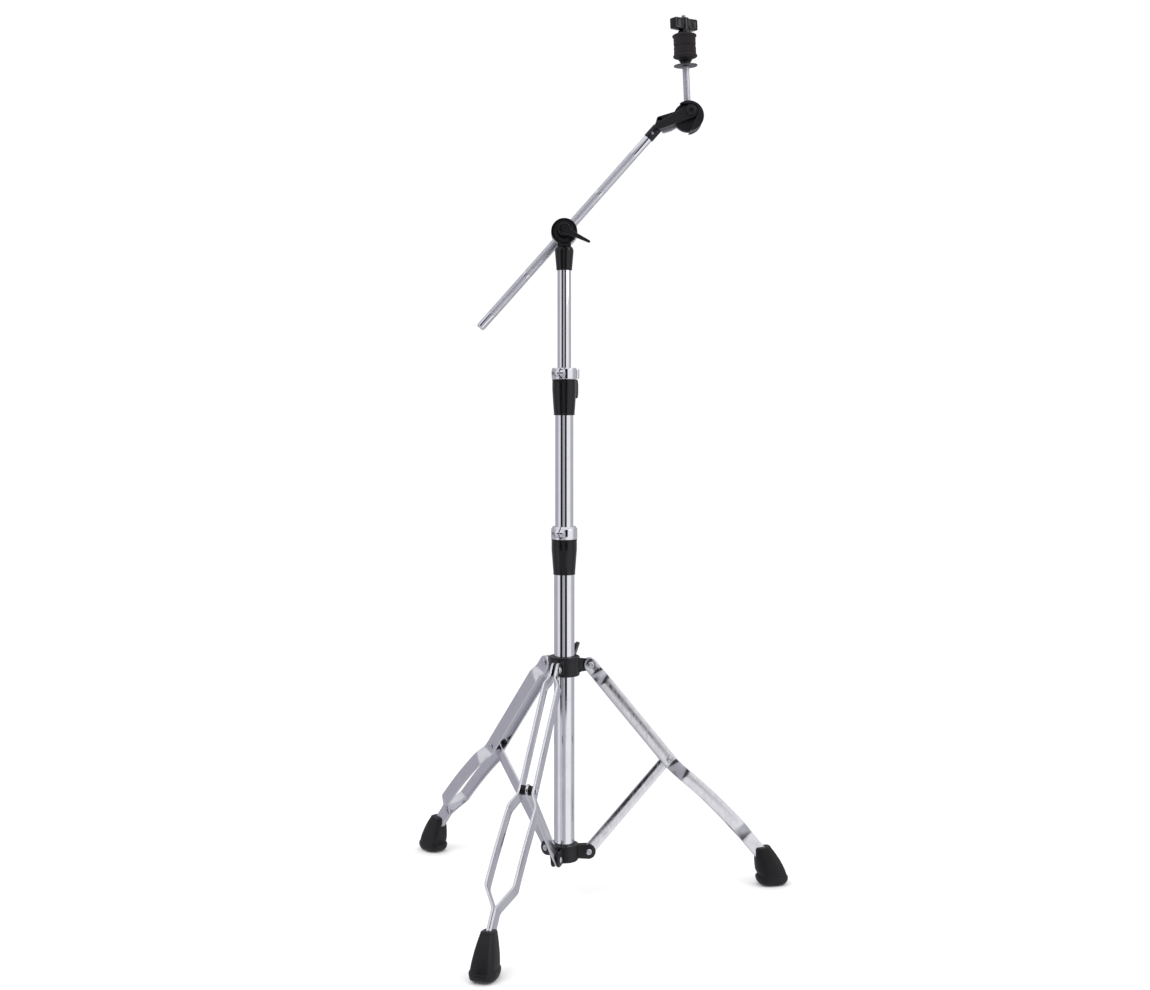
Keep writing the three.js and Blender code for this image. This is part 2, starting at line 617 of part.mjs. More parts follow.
const clampSleeveSolid = () => {
  const shoulder = clamp.socketAbove - clamp.height;
  const rim = -clamp.height - clamp.socketBelow;
  const { drumRadius, drumFront, drumBack } = clamp;
  const socketTopRadius = upperTube.radius + clamp.socketTopWall;
  const socketBottomRadius = upperTube.radius + clamp.socketBottomWall;
  const socketBody = turned([
    [0, rim], [socketBottomRadius, rim], [socketTopRadius, shoulder],
    [socketTopRadius - clamp.shoulderInset, shoulder + clamp.shoulderHeight],
    [0, shoulder + clamp.shoulderHeight],
  ]);
  const halfNeck = clamp.neckWidth / 2;
  const neck = block(-halfNeck, halfNeck, -drumFront + 1, drumBack - 1, shoulder, clamp.neckTop);
  const drum = alongY(turned([
    [0, -drumFront], [drumRadius - clamp.drumBevel, -drumFront], [drumRadius, -drumFront + clamp.drumBevel],
    [drumRadius, drumBack], [0, drumBack],
  ]));
  const socket = rodAlongZ(upperTube.radius + gap, rim - 1, -clamp.height + gap);
  return cut(join(socketBody, neck, drum), socket, holeAcross(clamp.boltRadius + gap));
};

// Both are in the arm's frame: its origin is on the arm's axis, level with the clamp bolt.
const turningDrumSolid = () => {
  const front = clamp.drumBack + gap - boom.back, back = clamp.turningBack - boom.back;
  const radius = clamp.turningRadius;
  const drum = alongY(turned([
    [0, front], [radius, front], [radius, back - clamp.drumBevel],
    [radius - clamp.drumBevel, back], [0, back],
  ]));
  const eyeRadius = boom.radius + gap + clamp.eyeWall + gap;
  const halfEye = clamp.eyeLength / 2 + gap;
  const eyeRoom = alongX(rodAlongZ(eyeRadius, -halfEye, halfEye));
  const eyeWayIn = block(-halfEye, halfEye, front - 1, 0, -eyeRadius, eyeRadius);
  return cut(drum, alongX(rodAlongZ(boom.radius + gap, -through, through)), eyeRoom, eyeWayIn);
};

const eyeBoltSolid = () => {
  const half = clamp.eyeLength / 2;
  const eye = alongX(rodAlongZ(boom.radius + gap + clamp.eyeWall, -half, half));
  const shank = pinAcross(clamp.boltRadius, -clamp.boltFront - boom.back, -boom.radius - gap);
  return cut(join(eye, shank), alongX(rodAlongZ(boom.radius + gap, -through, through)));
};

const handle = (length, rootHalf, tipHalf, angle, yFrom, yTo) =>
  plate(linkShape(0, 0, rootHalf, length - tipHalf, 0, tipHalf), yFrom, yTo).rotateY(-angle * degree);

const clampLeverSolid = () => {
  const { hubRadius, hubFront } = lever;
  const back = -clamp.drumFront - gap;
  const hub = alongY(turned([
    [0, -hubFront], [hubRadius - edgeBreak, -hubFront], [hubRadius, -hubFront + edgeBreak],
    [hubRadius, back - lever.flareLength], [hubRadius + 1, back], [0, back],
  ]));
  const armFront = -hubFront + lever.armSet;
  const arm = handle(lever.length, lever.rootWidth / 2, lever.tipWidth / 2, lever.angle,
    armFront, armFront + lever.armThickness);
  const thread = pinAcross(clamp.boltRadius + gap, -clamp.boltFront - gap, 0);
  const dish = pinAcross(hubRadius - lever.dishWall, -hubFront - 1, -hubFront + edgeBreak);
  return cut(join(hub, arm), thread, dish);
};

addPiece(clampFrame, "clamp_sleeve", clampSleeveSolid(), blackPlastic);
addPiece(clampFrame, "clamp_lever", clampLeverSolid(), blackPlastic);
addPiece(armFrame, "turning_drum", turningDrumSolid(), chrome);
addPiece(armFrame, "eye_bolt", eyeBoltSolid(), satinSteel);

// ---- boom arm and tilter fork
const boomArmSolid = () => alongX(turned([
  [0, -boom.tail], [boom.radius - boom.tipChamfer, -boom.tail],
  [boom.radius, -boom.tail + boom.tipLength],
  [boom.radius, boom.reach - gap], [boom.spigotRadius, boom.reach - gap],
  [boom.spigotRadius, boom.reach + boom.spigotLength], [0, boom.reach + boom.spigotLength],
]));

const pivot = [tilter.pivotAlong, -tilter.pivotBelow];
const cheekInner = tilter.cheekOuter - tilter.cheekThickness;
const setScrewAlong = boom.reach + tilter.screwAlong;
const tilterForkSolid = () => {
  const { elbow, rearElbow, cheekOuter, cheekRadius } = tilter;
  const socket = alongX(turned([
    [0, boom.reach], [tilter.socketRadius, boom.reach],
    [tilter.socketRadius, boom.reach + tilter.socketLength],
    [boom.spigotRadius, boom.reach + tilter.socketLength + boom.spigotRadius],
    [0, boom.reach + tilter.socketLength + boom.spigotRadius],
  ]));
  const bridge = plate(linkShape(elbow.along, elbow.above, elbow.radius,
    rearElbow.along, rearElbow.above, rearElbow.radius), -cheekOuter, cheekOuter);
  const frontCheek = plate(linkShape(elbow.along, elbow.above, elbow.radius, ...pivot, cheekRadius),
    -cheekOuter, -cheekInner);
  const rearCheek = plate(
    linkShape(rearElbow.along, rearElbow.above, rearElbow.radius, ...pivot, cheekRadius),
    cheekInner, cheekOuter);
  const armRoom = alongX(
    rodAlongZ(boom.spigotRadius + gap, boom.reach - 1, boom.reach + boom.spigotLength + gap, smallSegments));
  const boltHole = moved(holeAcross(tilterBolt.shank + gap), pivot[0], 0, pivot[1]);
  const screwHole = moved(pinAcross(tilter.screwRadius + gap, -through, 0), setScrewAlong, 0, 0);
  return cut(join(socket, bridge, frontCheek, rearCheek), armRoom, boltHole, screwHole);
};

addPiece(armFrame, "boom_arm", boomArmSolid(), chrome);
addPiece(armFrame, "tilter_fork", tilterForkSolid(), blackCasting);
const setScrew = pinAcross(tilter.screwRadius, -tilter.socketRadius + gap, -boom.spigotRadius - gap);
addPiece(armFrame, "fork_set_screw", moved(setScrew, setScrewAlong, 0, 0), satinSteel);

// ---- tilter head, rod and cymbal seat
const pivotFrame = addFrame(armFrame, "tilter_pivot", pivot[0], 0, pivot[1]);
const levelFrame = addFrame(pivotFrame, "tilter_level");
levelFrame.rotation.y = boom.angle * degree; // level and upright again
const headFrame = addFrame(levelFrame, "tilter_head_frame");
headFrame.rotation.y = tilter.lean * degree;
const rodFrame = addFrame(headFrame, "rod_axis", head.across, 0, head.along); // origin at the disc's centre

// Direction from the pivot to the fork's elbow, in the head's own frame, with the rod at rest.
const cheekDirection = () => {
  const inArm = Math.atan2(tilter.elbow.above - pivot[1], tilter.elbow.along - pivot[0]);
  return inArm + (boom.angle + tilter.lean) * degree;
};

const tilterHeadSolid = () => {
  const { radius, halfDepth, coreHalf } = head;
  const disc = alongY(turned([
    [0, -halfDepth], [radius - edgeBreak, -halfDepth], [radius, -halfDepth + edgeBreak],
    [radius, halfDepth - edgeBreak], [radius - edgeBreak, halfDepth], [0, halfDepth],
  ]));
  // Room for a cheek to swing between the tilt limits: a wedge widened by the cheek's half width.
  const reach = through, room = tilter.cheekRadius + 2 * gap;
  const wedge = (extra) => {
    const low = cheekDirection() + tilter.tiltForward * degree;
    const high = cheekDirection() + tilter.tiltBack * degree - extra;
    const middle = (low + high) / 2;
    const at = (distance, angle) => [distance * Math.cos(angle), distance * Math.sin(angle)];
    const root = (angle, side) => at(side * room, angle - Math.PI / 2);
    const arm = (angle, side) => at(reach, angle).map((value, i) => value + root(angle, side)[i]);
    const corners = [root(high, 1), arm(high, 1), at(2 * reach, middle), arm(low, -1), root(low, -1)];
    return new THREE.Shape(corners.map(([x, z]) => new THREE.Vector2(x, z)));
  };
  const tools = [
    plate(wedge(0), -halfDepth - 1, -coreHalf),
    pinAcross(room, -halfDepth - 1, -coreHalf, roundSegments),
    plate(wedge(tilter.rearRise * degree), coreHalf, halfDepth + 1),
    pinAcross(room, coreHalf, halfDepth + 1, roundSegments),
    holeAcross(tilterBolt.shank + gap),
  ].map((tool) => tool.translate(-head.across, 0, -head.along));
  const tangHole = rodAlongZ(rod.tang + gap, rod.tangStart - gap, radius + 1, smallSegments);
  const rodHole = rodAlongZ(rod.radius + gap, rod.start - gap, radius + 1, smallSegments);
  return cut(disc, ...tools, tangHole, rodHole);
};

const tilterBoltSolid = () => {
  const face = -tilter.cheekOuter - gap;
  const bolt = alongY(turned([
    [0, face - tilterBolt.headHeight], [tilterBolt.head - 1, face - tilterBolt.headHeight],
    [tilterBolt.head, face - tilterBolt.headHeight + 1], [tilterBolt.head, face], [tilterBolt.shank, face],
    [tilterBolt.shank, tilter.cheekOuter + tilterLever.hubLength - 2],
    [0, tilter.cheekOuter + tilterLever.hubLength - 2],
  ]));
  const keyHole = alongY(
    rodAlongZ(tilterBolt.socket, face - tilterBolt.headHeight - 1, face - tilterBolt.socketFloor, 6));
  return cut(bolt, keyHole);
};

const tilterLeverSolid = () => {
  const start = tilter.cheekOuter + gap;
  const { hubRadius, hubLength, length, angle, rootHalf, tipHalf, thickness } = tilterLever;
  const hub = alongY(turned([
    [0, start], [hubRadius, start], [hubRadius, start + hubLength - 3], [hubRadius - 3, start + hubLength],
    [0, start + hubLength],
  ]));
  const arm = handle(length, rootHalf, tipHalf, angle, start + 3, start + 3 + thickness);
  return cut(join(hub, arm), pinAcross(tilterBolt.shank + gap, 0, start + hubLength - edgeBreak));
};

addPiece(pivotFrame, "tilter_bolt", tilterBoltSolid(), blackCasting);
addPiece(levelFrame, "tilter_lever", tilterLeverSolid(), chrome);
addPiece(rodFrame, "tilter_head", tilterHeadSolid(), blackCasting);

const seatTop = rod.seat + gap + seat.thickness;
const sleeveBottom = seatTop + gap;
const coneTop = sleeveBottom + sleeve.footHeight + sleeve.coneHeight;
const lowerFeltBottom = coneTop + gap;
const upperFeltBottom = lowerFeltBottom + felt.height + gap;
const nutBottom = upperFeltBottom + felt.height + gap;
const sleeveTop = nutBottom - sleeve.belowNut;
const feltBore = sleeve.tubeRadius + gap;
const rodBore = rod.thread + gap;

addPiece(rodFrame, "cymbal_rod", turned([
  [0, rod.tangStart], [rod.tang, rod.tangStart], [rod.tang, rod.start], [rod.radius, rod.start],
  [rod.radius, rod.seat], [rod.thread, rod.seat], [rod.thread, rod.top - 1], [rod.thread - 1, rod.top],
  [0, rod.top],
], mediumSegments), chrome);
addPiece(rodFrame, "seat_washer", ring(rodBore, seat.radius, rod.seat + gap, seatTop), satinSteel);
addPiece(rodFrame, "cymbal_sleeve", turned([
  [rodBore, sleeveBottom], [sleeve.footRadius, sleeveBottom],
  [sleeve.footRadius, sleeveBottom + sleeve.footHeight],
  [sleeve.flangeRadius, coneTop], [sleeve.tubeRadius, coneTop], [sleeve.tubeRadius, sleeveTop],
  [rodBore, sleeveTop],
], mediumSegments), nylon);
addPiece(rodFrame, "lower_felt", turned([
  [feltBore, lowerFeltBottom], [felt.rimRadius, lowerFeltBottom],
  [felt.rimRadius, lowerFeltBottom + felt.rimHeight - 1], [felt.bodyRadius, lowerFeltBottom + felt.rimHeight],
  [felt.bodyRadius, lowerFeltBottom + felt.height], [feltBore, lowerFeltBottom + felt.height],
]), feltCloth);
const feltTop = upperFeltBottom + felt.height;
addPiece(rodFrame, "upper_felt", turned([
  [feltBore, upperFeltBottom], [felt.bodyRadius, upperFeltBottom],
  [felt.bodyRadius, feltTop - felt.rimHeight],
  [felt.rimRadius, feltTop - felt.rimHeight + 1], [felt.rimRadius, feltTop], [feltBore, feltTop],
]), feltCloth);

const wingNutSolid = () => {
  const top = nutBottom + nut.height;
  const hub = turned([
    [0, nutBottom], [nut.flangeRadius, nutBottom], [nut.flangeRadius, nutBottom + nut.flangeHeight],
    [nut.hubRadius, nutBottom + nut.hubStart], [nut.hubRadius, top - 1], [nut.hubRadius - 1, top], [0, top],
  ]);
  const halfSpan = nut.span / 2, halfThick = nut.wingThickness / 2, wingTop = top - nut.wingDrop;
  const wings = block(-halfSpan, halfSpan, -halfThick, halfThick, wingTop - nut.wingHeight, wingTop);
  const bore = rodAlongZ(rodBore, nutBottom - 1, top + 1, smallSegments);
  return cut(join(hub, wings), bore).rotateZ(nut.turn * degree);
};
addPiece(rodFrame, "wing_nut", wingNutSolid(), blackPlastic);

// ---- origin: middle of the footprint, on the floor
const bounds = new THREE.Box3().setFromObject(mast, true);
mast.position.set(-(bounds.min.x + bounds.max.x) / 2, -(bounds.min.y + bounds.max.y) / 2, 0);

export default stand;
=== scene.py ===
# Cymbal boom stand: the visual model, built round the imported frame.
import json
import math

import bmesh
import bpy
from mathutils import Matrix, Vector


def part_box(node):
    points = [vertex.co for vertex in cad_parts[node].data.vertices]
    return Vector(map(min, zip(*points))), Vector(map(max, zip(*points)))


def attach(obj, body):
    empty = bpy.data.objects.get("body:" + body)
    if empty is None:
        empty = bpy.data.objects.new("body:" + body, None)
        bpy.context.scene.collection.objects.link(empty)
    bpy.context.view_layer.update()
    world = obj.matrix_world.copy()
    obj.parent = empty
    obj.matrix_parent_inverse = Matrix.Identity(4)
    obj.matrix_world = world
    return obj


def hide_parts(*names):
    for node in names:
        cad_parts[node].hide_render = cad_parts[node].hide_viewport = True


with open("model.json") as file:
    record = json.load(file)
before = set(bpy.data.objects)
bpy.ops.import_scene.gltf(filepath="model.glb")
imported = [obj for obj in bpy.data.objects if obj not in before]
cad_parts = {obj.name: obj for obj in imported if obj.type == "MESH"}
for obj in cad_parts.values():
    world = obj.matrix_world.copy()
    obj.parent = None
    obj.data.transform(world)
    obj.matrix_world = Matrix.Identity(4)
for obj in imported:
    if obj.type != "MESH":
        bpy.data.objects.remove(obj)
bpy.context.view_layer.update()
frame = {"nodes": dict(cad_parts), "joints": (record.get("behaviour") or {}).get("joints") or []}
mm = 0.001
joints = {joint["name"]: joint for joint in frame["joints"]}
bpy.ops.object.select_all(action="DESELECT")


# where the frame says things are
def jointPoint(name):
    return Vector(joints[name]["pos_m"])


def jointAxis(name):
    return Vector(joints[name]["axis"]).normalized()


def axesMatrix(origin, xAxis, zAxis):  # a place whose local x and z point these ways
    z = Vector(zAxis).normalized()
    x = (Vector(xAxis) - Vector(xAxis).dot(z) * z).normalized()
    turn = Matrix((x, z.cross(x), z)).transposed().to_4x4()
    return Matrix.Translation(origin) @ turn


def span(node):  # lowest and highest z of a node, in millimetres
    low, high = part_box(node)
    return low.z / mm, high.z / mm


tubeLow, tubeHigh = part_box("base_tube")
mastX, mastY = (tubeLow.x + tubeHigh.x) / 2, (tubeLow.y + tubeHigh.y) / 2
mastPlace = Matrix.Translation((mastX, mastY, 0))
armPoint = jointPoint("boom_roll")
armAxis = jointAxis("boom_slide")
armPlace = axesMatrix(armPoint, armAxis, armAxis.cross(Vector((0, 1, 0))))
clampPlace = Matrix.Translation(jointPoint("boom_tilt"))
rodAxis = jointAxis("nut_turn")
rodPlace = axesMatrix(jointPoint("nut_turn"), Vector((0, 1, 0)).cross(rodAxis), rodAxis)
pivotPlace = Matrix.Translation(jointPoint("cymbal_tilt"))
sideNames = ["right", "rear", "front"]
foldJoints = {"right": "leg_fold", "rear": "brace_rear_swing", "front": "brace_front_swing"}


def legPlace(side):
    axis = jointAxis(foldJoints[side])
    return mastPlace @ Matrix.Rotation(math.atan2(axis.x, -axis.y), 4, "Z")


def inLeg(point):  # radius and height from the mast axis, in millimetres
    flat = Vector((point.x - mastX, point.y - mastY))
    return flat.length / mm, point.z / mm


braceFoot = inLeg(jointPoint("leg_fold"))
knee = inLeg(jointPoint("knee_right"))
legTop = inLeg(jointPoint("leg_collar_slide"))
print("frame read")


# ---- shader nodes
class Wire:  # one output socket; + - * / on it add Math nodes
    def __init__(self, tree, socket):
        self.tree = tree
        self.socket = socket

    def maths(self, operation, other=None, first=None):
        left = self if first is None else first
        values = {0: left} if other is None else {0: left, 1: other}
        return self.tree.add("ShaderNodeMath", {"operation": operation}, values)

    def __add__(self, other):
        return self.maths("ADD", other)

    def __radd__(self, other):
        return self.maths("ADD", other)

    def __sub__(self, other):
        return self.maths("SUBTRACT", other)

    def __rsub__(self, other):
        return self.maths("SUBTRACT", self, first=other)

    def __mul__(self, other):
        return self.maths("MULTIPLY", other)

    def __rmul__(self, other):
        return self.maths("MULTIPLY", other)

    def __truediv__(self, other):
        return self.maths("DIVIDE", other)


class Nodes:  # a material's or world's node tree
    def __init__(self, owner):
        owner.use_nodes = True
        self.tree = owner.node_tree
        self.tree.nodes.clear()

    def add(self, kind, settings=None, sockets=None, out=0):
        node = self.tree.nodes.new(kind)
        for key, value in (settings or {}).items():
            if key == "stops":
                ramp = node.color_ramp
                while len(ramp.elements) > 1:
                    ramp.elements.remove(ramp.elements[0])
                for index, (position, color) in enumerate(value):
                    element = ramp.elements[0] if index == 0 else ramp.elements.new(position)
                    element.position = position
                    element.color = color if len(color) == 4 else (*color, 1)
            else:
                setattr(node, key, value)
        for key, value in (sockets or {}).items():
            if isinstance(value, Wire):
                self.tree.links.new(value.socket, node.inputs[key])
            else:
                node.inputs[key].default_value = value
        return Wire(self, node.outputs[out]) if node.outputs else None

    def place(self):
        return self.add("ShaderNodeTexCoord", out="Object")

    def noise(self, scale, detail=3, roughness=0.55, where=None, stretch=None):
        spot = where or self.place()
        if stretch:
            spot = self.add("ShaderNodeMapping", None, {"Vector": spot, "Scale": stretch})
        return self.add("ShaderNodeTexNoise", None,
                        {"Vector": spot, "Scale": scale, "Detail": detail, "Roughness": roughness})

    def fit(self, value, low, high, fromLow=0.0, fromHigh=1.0):
        return self.add("ShaderNodeMapRange", None, {"Value": value, "From Min": fromLow,
                                                     "From Max": fromHigh, "To Min": low, "To Max": high})

    def blend(self, factor, first, second):
        return self.add("ShaderNodeMix", {"data_type": "RGBA"},
                        {0: factor, 6: first if isinstance(first, Wire) else (*first, 1),
                         7: second if isinstance(second, Wire) else (*second, 1)}, out=2)

    def bump(self, height, strength, distance, normal=None):
        sockets = {"Height": height, "Strength": strength, "Distance": distance * mm}
        if normal:
            sockets["Normal"] = normal
        return self.add("ShaderNodeBump", None, sockets)

    def surface(self, **sockets):
        shader = self.add("ShaderNodeBsdfPrincipled", None,
                          {k.replace("_", " "): v for k, v in sockets.items()})
        self.add("ShaderNodeOutputMaterial", None, {"Surface": shader})
        return shader


def newMaterial(name):
    material = bpy.data.materials.new(name)
    return material, Nodes(material)


# ---- finishes
chromeLook = {"color": (0.80, 0.80, 0.83), "dull": (0.66, 0.66, 0.70), "roughness": (0.035, 0.11)}


def chromeFinish(name, look, grain, grainDepth):  # plated metal: smudges, uneven polish, fine grain
    material, nodes = newMaterial(name)
    smudge = nodes.noise(45, 5, 0.6)
    smudgeMask = nodes.fit(smudge, 0, 1, 0.48, 0.72)
    drawn = nodes.noise(grain[0], 2, 0.5, stretch=grain[1])
    rough = nodes.fit(drawn, look["roughness"][0], look["roughness"][1], 0.3, 0.75) + smudgeMask * 0.05
    wave = nodes.noise(28, 2, 0.4)
    normal = nodes.bump(drawn, 0.25, grainDepth, nodes.bump(wave, 0.2, 0.05))
    color = nodes.blend(smudgeMask * 0.35, look["color"], look["dull"])
    nodes.surface(Base_Color=color, Metallic=1.0, Roughness=rough, Normal=normal)
    return material


tubeChrome = chromeFinish("tubeChrome", chromeLook, (260, (1, 1, 0.02)), 0.004)
fittingChrome = chromeFinish("fittingChrome", chromeLook, (300, (1, 1, 1)), 0.004)
stripLook = {"color": (0.74, 0.74, 0.77), "dull": (0.60, 0.60, 0.64), "roughness": (0.10, 0.24)}
stripChrome = chromeFinish("stripChrome", stripLook, (420, (1, 1, 0.2)), 0.01)
armLook = {"color": (0.78, 0.78, 0.82), "dull": (0.62, 0.62, 0.67), "roughness": (0.06, 0.14)}
armChrome = chromeFinish("armChrome", armLook, (300, (1, 1, 1)), 0.004)
knurlLook = {"color": (0.72, 0.72, 0.77), "dull": (0.58, 0.58, 0.64), "roughness": (0.50, 0.62)}
knurlChrome = chromeFinish("knurlChrome", knurlLook, (900, (1, 1, 1)), 0.02)
zincLook = {"color": (0.62, 0.62, 0.65), "dull": (0.36, 0.36, 0.39), "roughness": (0.20, 0.42)}
zincSteel = chromeFinish("zincSteel", zincLook, (700, (1, 1, 1)), 0.02)
satinLook = {"color": (0.62, 0.615, 0.66), "dull": (0.52, 0.515, 0.56), "roughness": (0.52, 0.62)}
satinChrome = chromeFinish("satinChrome", satinLook, (500, (1, 1, 1)), 0.01)
washerLook = {"color": (0.13, 0.13, 0.14), "dull": (0.03, 0.03, 0.035), "roughness": (0.28, 0.50)}
washerSteel = chromeFinish("washerSteel", washerLook, (900, (1, 1, 1)), 0.03)


def blackFinish(name, color, worn, roughness, grainScale, grainDepth,
                coat=0.0, sheen=0.0, specular=0.5):  # mouldings, castings and rubber: grain, greyer highs
    material, nodes = newMaterial(name)
    grain = nodes.noise(grainScale, 3, 0.6)
    mottle = nodes.noise(70, 4, 0.55)
    scuff = nodes.fit(nodes.noise(160, 6, 0.7), 0, 1, 0.60, 0.80)
    rough = nodes.fit(mottle, roughness[0], roughness[1], 0.3, 0.7) + scuff * 0.12
    tint = nodes.blend(scuff * 0.4 + nodes.fit(grain, 0, 0.15), color, worn)
    nodes.surface(Base_Color=tint, Roughness=rough, Normal=nodes.bump(grain, 0.35, grainDepth),
                  Coat_Weight=coat, Coat_Roughness=0.12, Sheen_Weight=sheen, Sheen_Roughness=0.5,
                  Specular_IOR_Level=specular)
    return material


blackPlastic = blackFinish("blackPlastic", (0.003, 0.003, 0.0035), (0.012, 0.012, 0.014), (0.13, 0.24), 800,
                           0.012, specular=0.38)
blackCasting = blackFinish("blackCasting", (0.006, 0.006, 0.008), (0.030, 0.030, 0.036), (0.30, 0.44), 1100,
                           0.08, specular=0.34)
blackNylon = blackFinish("blackNylon", (0.004, 0.004, 0.005), (0.012, 0.012, 0.013), (0.32, 0.45), 1200, 0.02,
                         specular=0.3)
blackRubber = blackFinish("blackRubber", (0.005, 0.005, 0.006), (0.016, 0.016, 0.018), (0.34, 0.52), 900,
                          0.05, specular=0.32)


def feltFinish():  # pressed wool: matted fibres, a few lighter ones, a soft fuzzy edge
    material, nodes = newMaterial("blackFelt")
    fibre = nodes.noise(520, 6, 0.75, stretch=(1, 1, 3))
    clump = nodes.noise(160, 4, 0.6)
    stray = nodes.fit(nodes.noise(1400, 2, 0.5, stretch=(0.3, 1, 1)), 0, 1, 0.64, 0.74)
    base = nodes.blend(nodes.fit(fibre, 0, 1, 0.3, 0.7), (0.005, 0.0042, 0.005), (0.024, 0.019, 0.023))
    color = nodes.blend(stray * 0.5, base, (0.075, 0.052, 0.062))
    normal = nodes.bump(fibre, 0.9, 0.35, nodes.bump(clump, 0.6, 0.5))
    nodes.surface(Base_Color=color, Roughness=nodes.fit(clump, 0.85, 1.0), Normal=normal,
                  Sheen_Weight=0.06, Sheen_Roughness=0.6, Specular_IOR_Level=0.12)
    return material


blackFelt = feltFinish()
print("finishes made")


# ---- modelling helpers
mergeGap = 2e-6


def pick(*objects):
    bpy.ops.object.select_all(action="DESELECT")
    for obj in objects:
        obj.select_set(True)
    bpy.context.view_layer.objects.active = objects[0]


def editing(obj):
    pick(obj)
    bpy.ops.object.mode_set(mode="EDIT")
    bpy.ops.mesh.select_all(action="SELECT")


def doneEditing():
    bpy.ops.object.mode_set(mode="OBJECT")


def rounded(profile, steps=4):  # gives each (across, up, radius) corner its arc
    closed = profile[0][:2] == profile[-1][:2]
    corners = profile[:-1] if closed else profile
    count = len(corners)
    points = []
    for index, corner in enumerate(corners):
        here = Vector(corner[:2])
        ends = not closed and index in (0, count - 1)
        if len(corner) < 3 or ends:
            points.append(here)
            continue
        back = Vector(corners[index - 1][:2]) - here
        ahead = Vector(corners[(index + 1) % count][:2]) - here
        half = back.angle(ahead) / 2
        reach = min(corner[2] / math.tan(half), back.length * 0.48, ahead.length * 0.48)
        radius = reach * math.tan(half)
        middle = here + (back.normalized() + ahead.normalized()).normalized() * (radius / math.sin(half))
        start = here + back.normalized() * reach - middle
        turn = start.angle_signed(here + ahead.normalized() * reach - middle)
        for step in range(steps + 1):
            at = -turn * step / steps
            points.append(middle + Matrix.Rotation(at, 2) @ start)
    if closed:
        points.append(points[0].copy())
    return points


def spun(name, profile, sides=64, steps=4):  # a profile of (radius, height) in millimetres turned about Z
    points = rounded(profile, steps)
    bpy.ops.mesh.primitive_plane_add(size=mm)
    obj = bpy.context.active_object
    obj.name = name
    editing(obj)
    bpy.ops.mesh.merge(type="CENTER")
    bpy.ops.transform.translate(value=(points[0].x * mm, 0, points[0].y * mm))
    for before, after in zip(points, points[1:]):
        step = ((after.x - before.x) * mm, 0, (after.y - before.y) * mm)
        bpy.ops.mesh.extrude_vertices_move(TRANSFORM_OT_translate={"value": step})
    bpy.ops.mesh.select_all(action="SELECT")
    bpy.ops.mesh.spin(steps=sides, angle=2 * math.pi, center=(0, 0, 0), axis=(0, 0, 1))
    bpy.ops.mesh.select_all(action="SELECT")
    bpy.ops.mesh.remove_doubles(threshold=mergeGap)
    bpy.ops.mesh.normals_make_consistent(inside=False)
    doneEditing()
    return obj


def rod(name, radius, bottom, top, fillet=0.0, sides=48):
    corner = (fillet,) if fillet else ()
    return spun(name, [(0, bottom), (radius, bottom, *corner), (radius, top, *corner), (0, top)], sides)


def sleeveShape(name, inner, outer, bottom, top, fillet=0.3, sides=64):
    return spun(name, [(inner, bottom), (outer, bottom, fillet), (outer, top, fillet), (inner, top),
                       (inner, bottom)], sides)


def laidAlongY(obj):  # what pointed up now points away from the front
    return moved(obj, Matrix.Rotation(-math.pi / 2, 4, "X"))


def laidAlongX(obj):
    return moved(obj, Matrix.Rotation(math.pi / 2, 4, "Y"))


def moved(obj, matrix):
    obj.matrix_world = matrix
    pick(obj)
    bpy.ops.object.transform_apply(location=True, rotation=True, scale=True)
    return obj


def shifted(obj, x=0.0, y=0.0, z=0.0):
    return moved(obj, Matrix.Translation((x * mm, y * mm, z * mm)))


def slab(name, circles, yFrom, yTo, sides=40):  # discs at (x, z, radius) in one outline, thick along Y
    for index, (x, z, radius) in enumerate(circles):
        bpy.ops.mesh.primitive_cylinder_add(vertices=sides, radius=radius * mm, depth=(yTo - yFrom) * mm,
                                            location=(x * mm, (yFrom + yTo) / 2 * mm, z * mm),
                                            rotation=(math.pi / 2, 0, 0))
        if index == 0:
            obj = bpy.context.active_object
            obj.name = name
            bpy.ops.object.transform_apply(location=True, rotation=True, scale=True)
            bpy.ops.object.mode_set(mode="EDIT")
    bpy.ops.mesh.select_all(action="SELECT")
    bpy.ops.mesh.convex_hull()
    bpy.ops.mesh.select_all(action="SELECT")
    bpy.ops.mesh.dissolve_limited(angle_limit=math.radians(1))
    bpy.ops.mesh.normals_make_consistent(inside=False)
    doneEditing()
    return obj


def brick(name, x0, x1, y0, y1, z0, z1):
    bpy.ops.mesh.primitive_cube_add(size=1, location=((x0 + x1) / 2 * mm, (y0 + y1) / 2 * mm,
                                                      (z0 + z1) / 2 * mm))
    obj = bpy.context.active_object
    obj.name = name
    obj.scale = ((x1 - x0) * mm, (y1 - y0) * mm, (z1 - z0) * mm)
    bpy.ops.object.transform_apply(location=True, rotation=True, scale=True)
    return obj


def joined(obj, *others, operation="UNION"):
    for other in others:
        change = obj.modifiers.new("join", "BOOLEAN")
        change.object = other
        change.operation = operation
        change.solver = "EXACT"
        pick(obj)
        bpy.ops.object.modifier_apply(modifier=change.name)
        bpy.data.objects.remove(other)
    return obj


def carved(obj, *cutters):
    return joined(obj, *cutters, operation="DIFFERENCE")


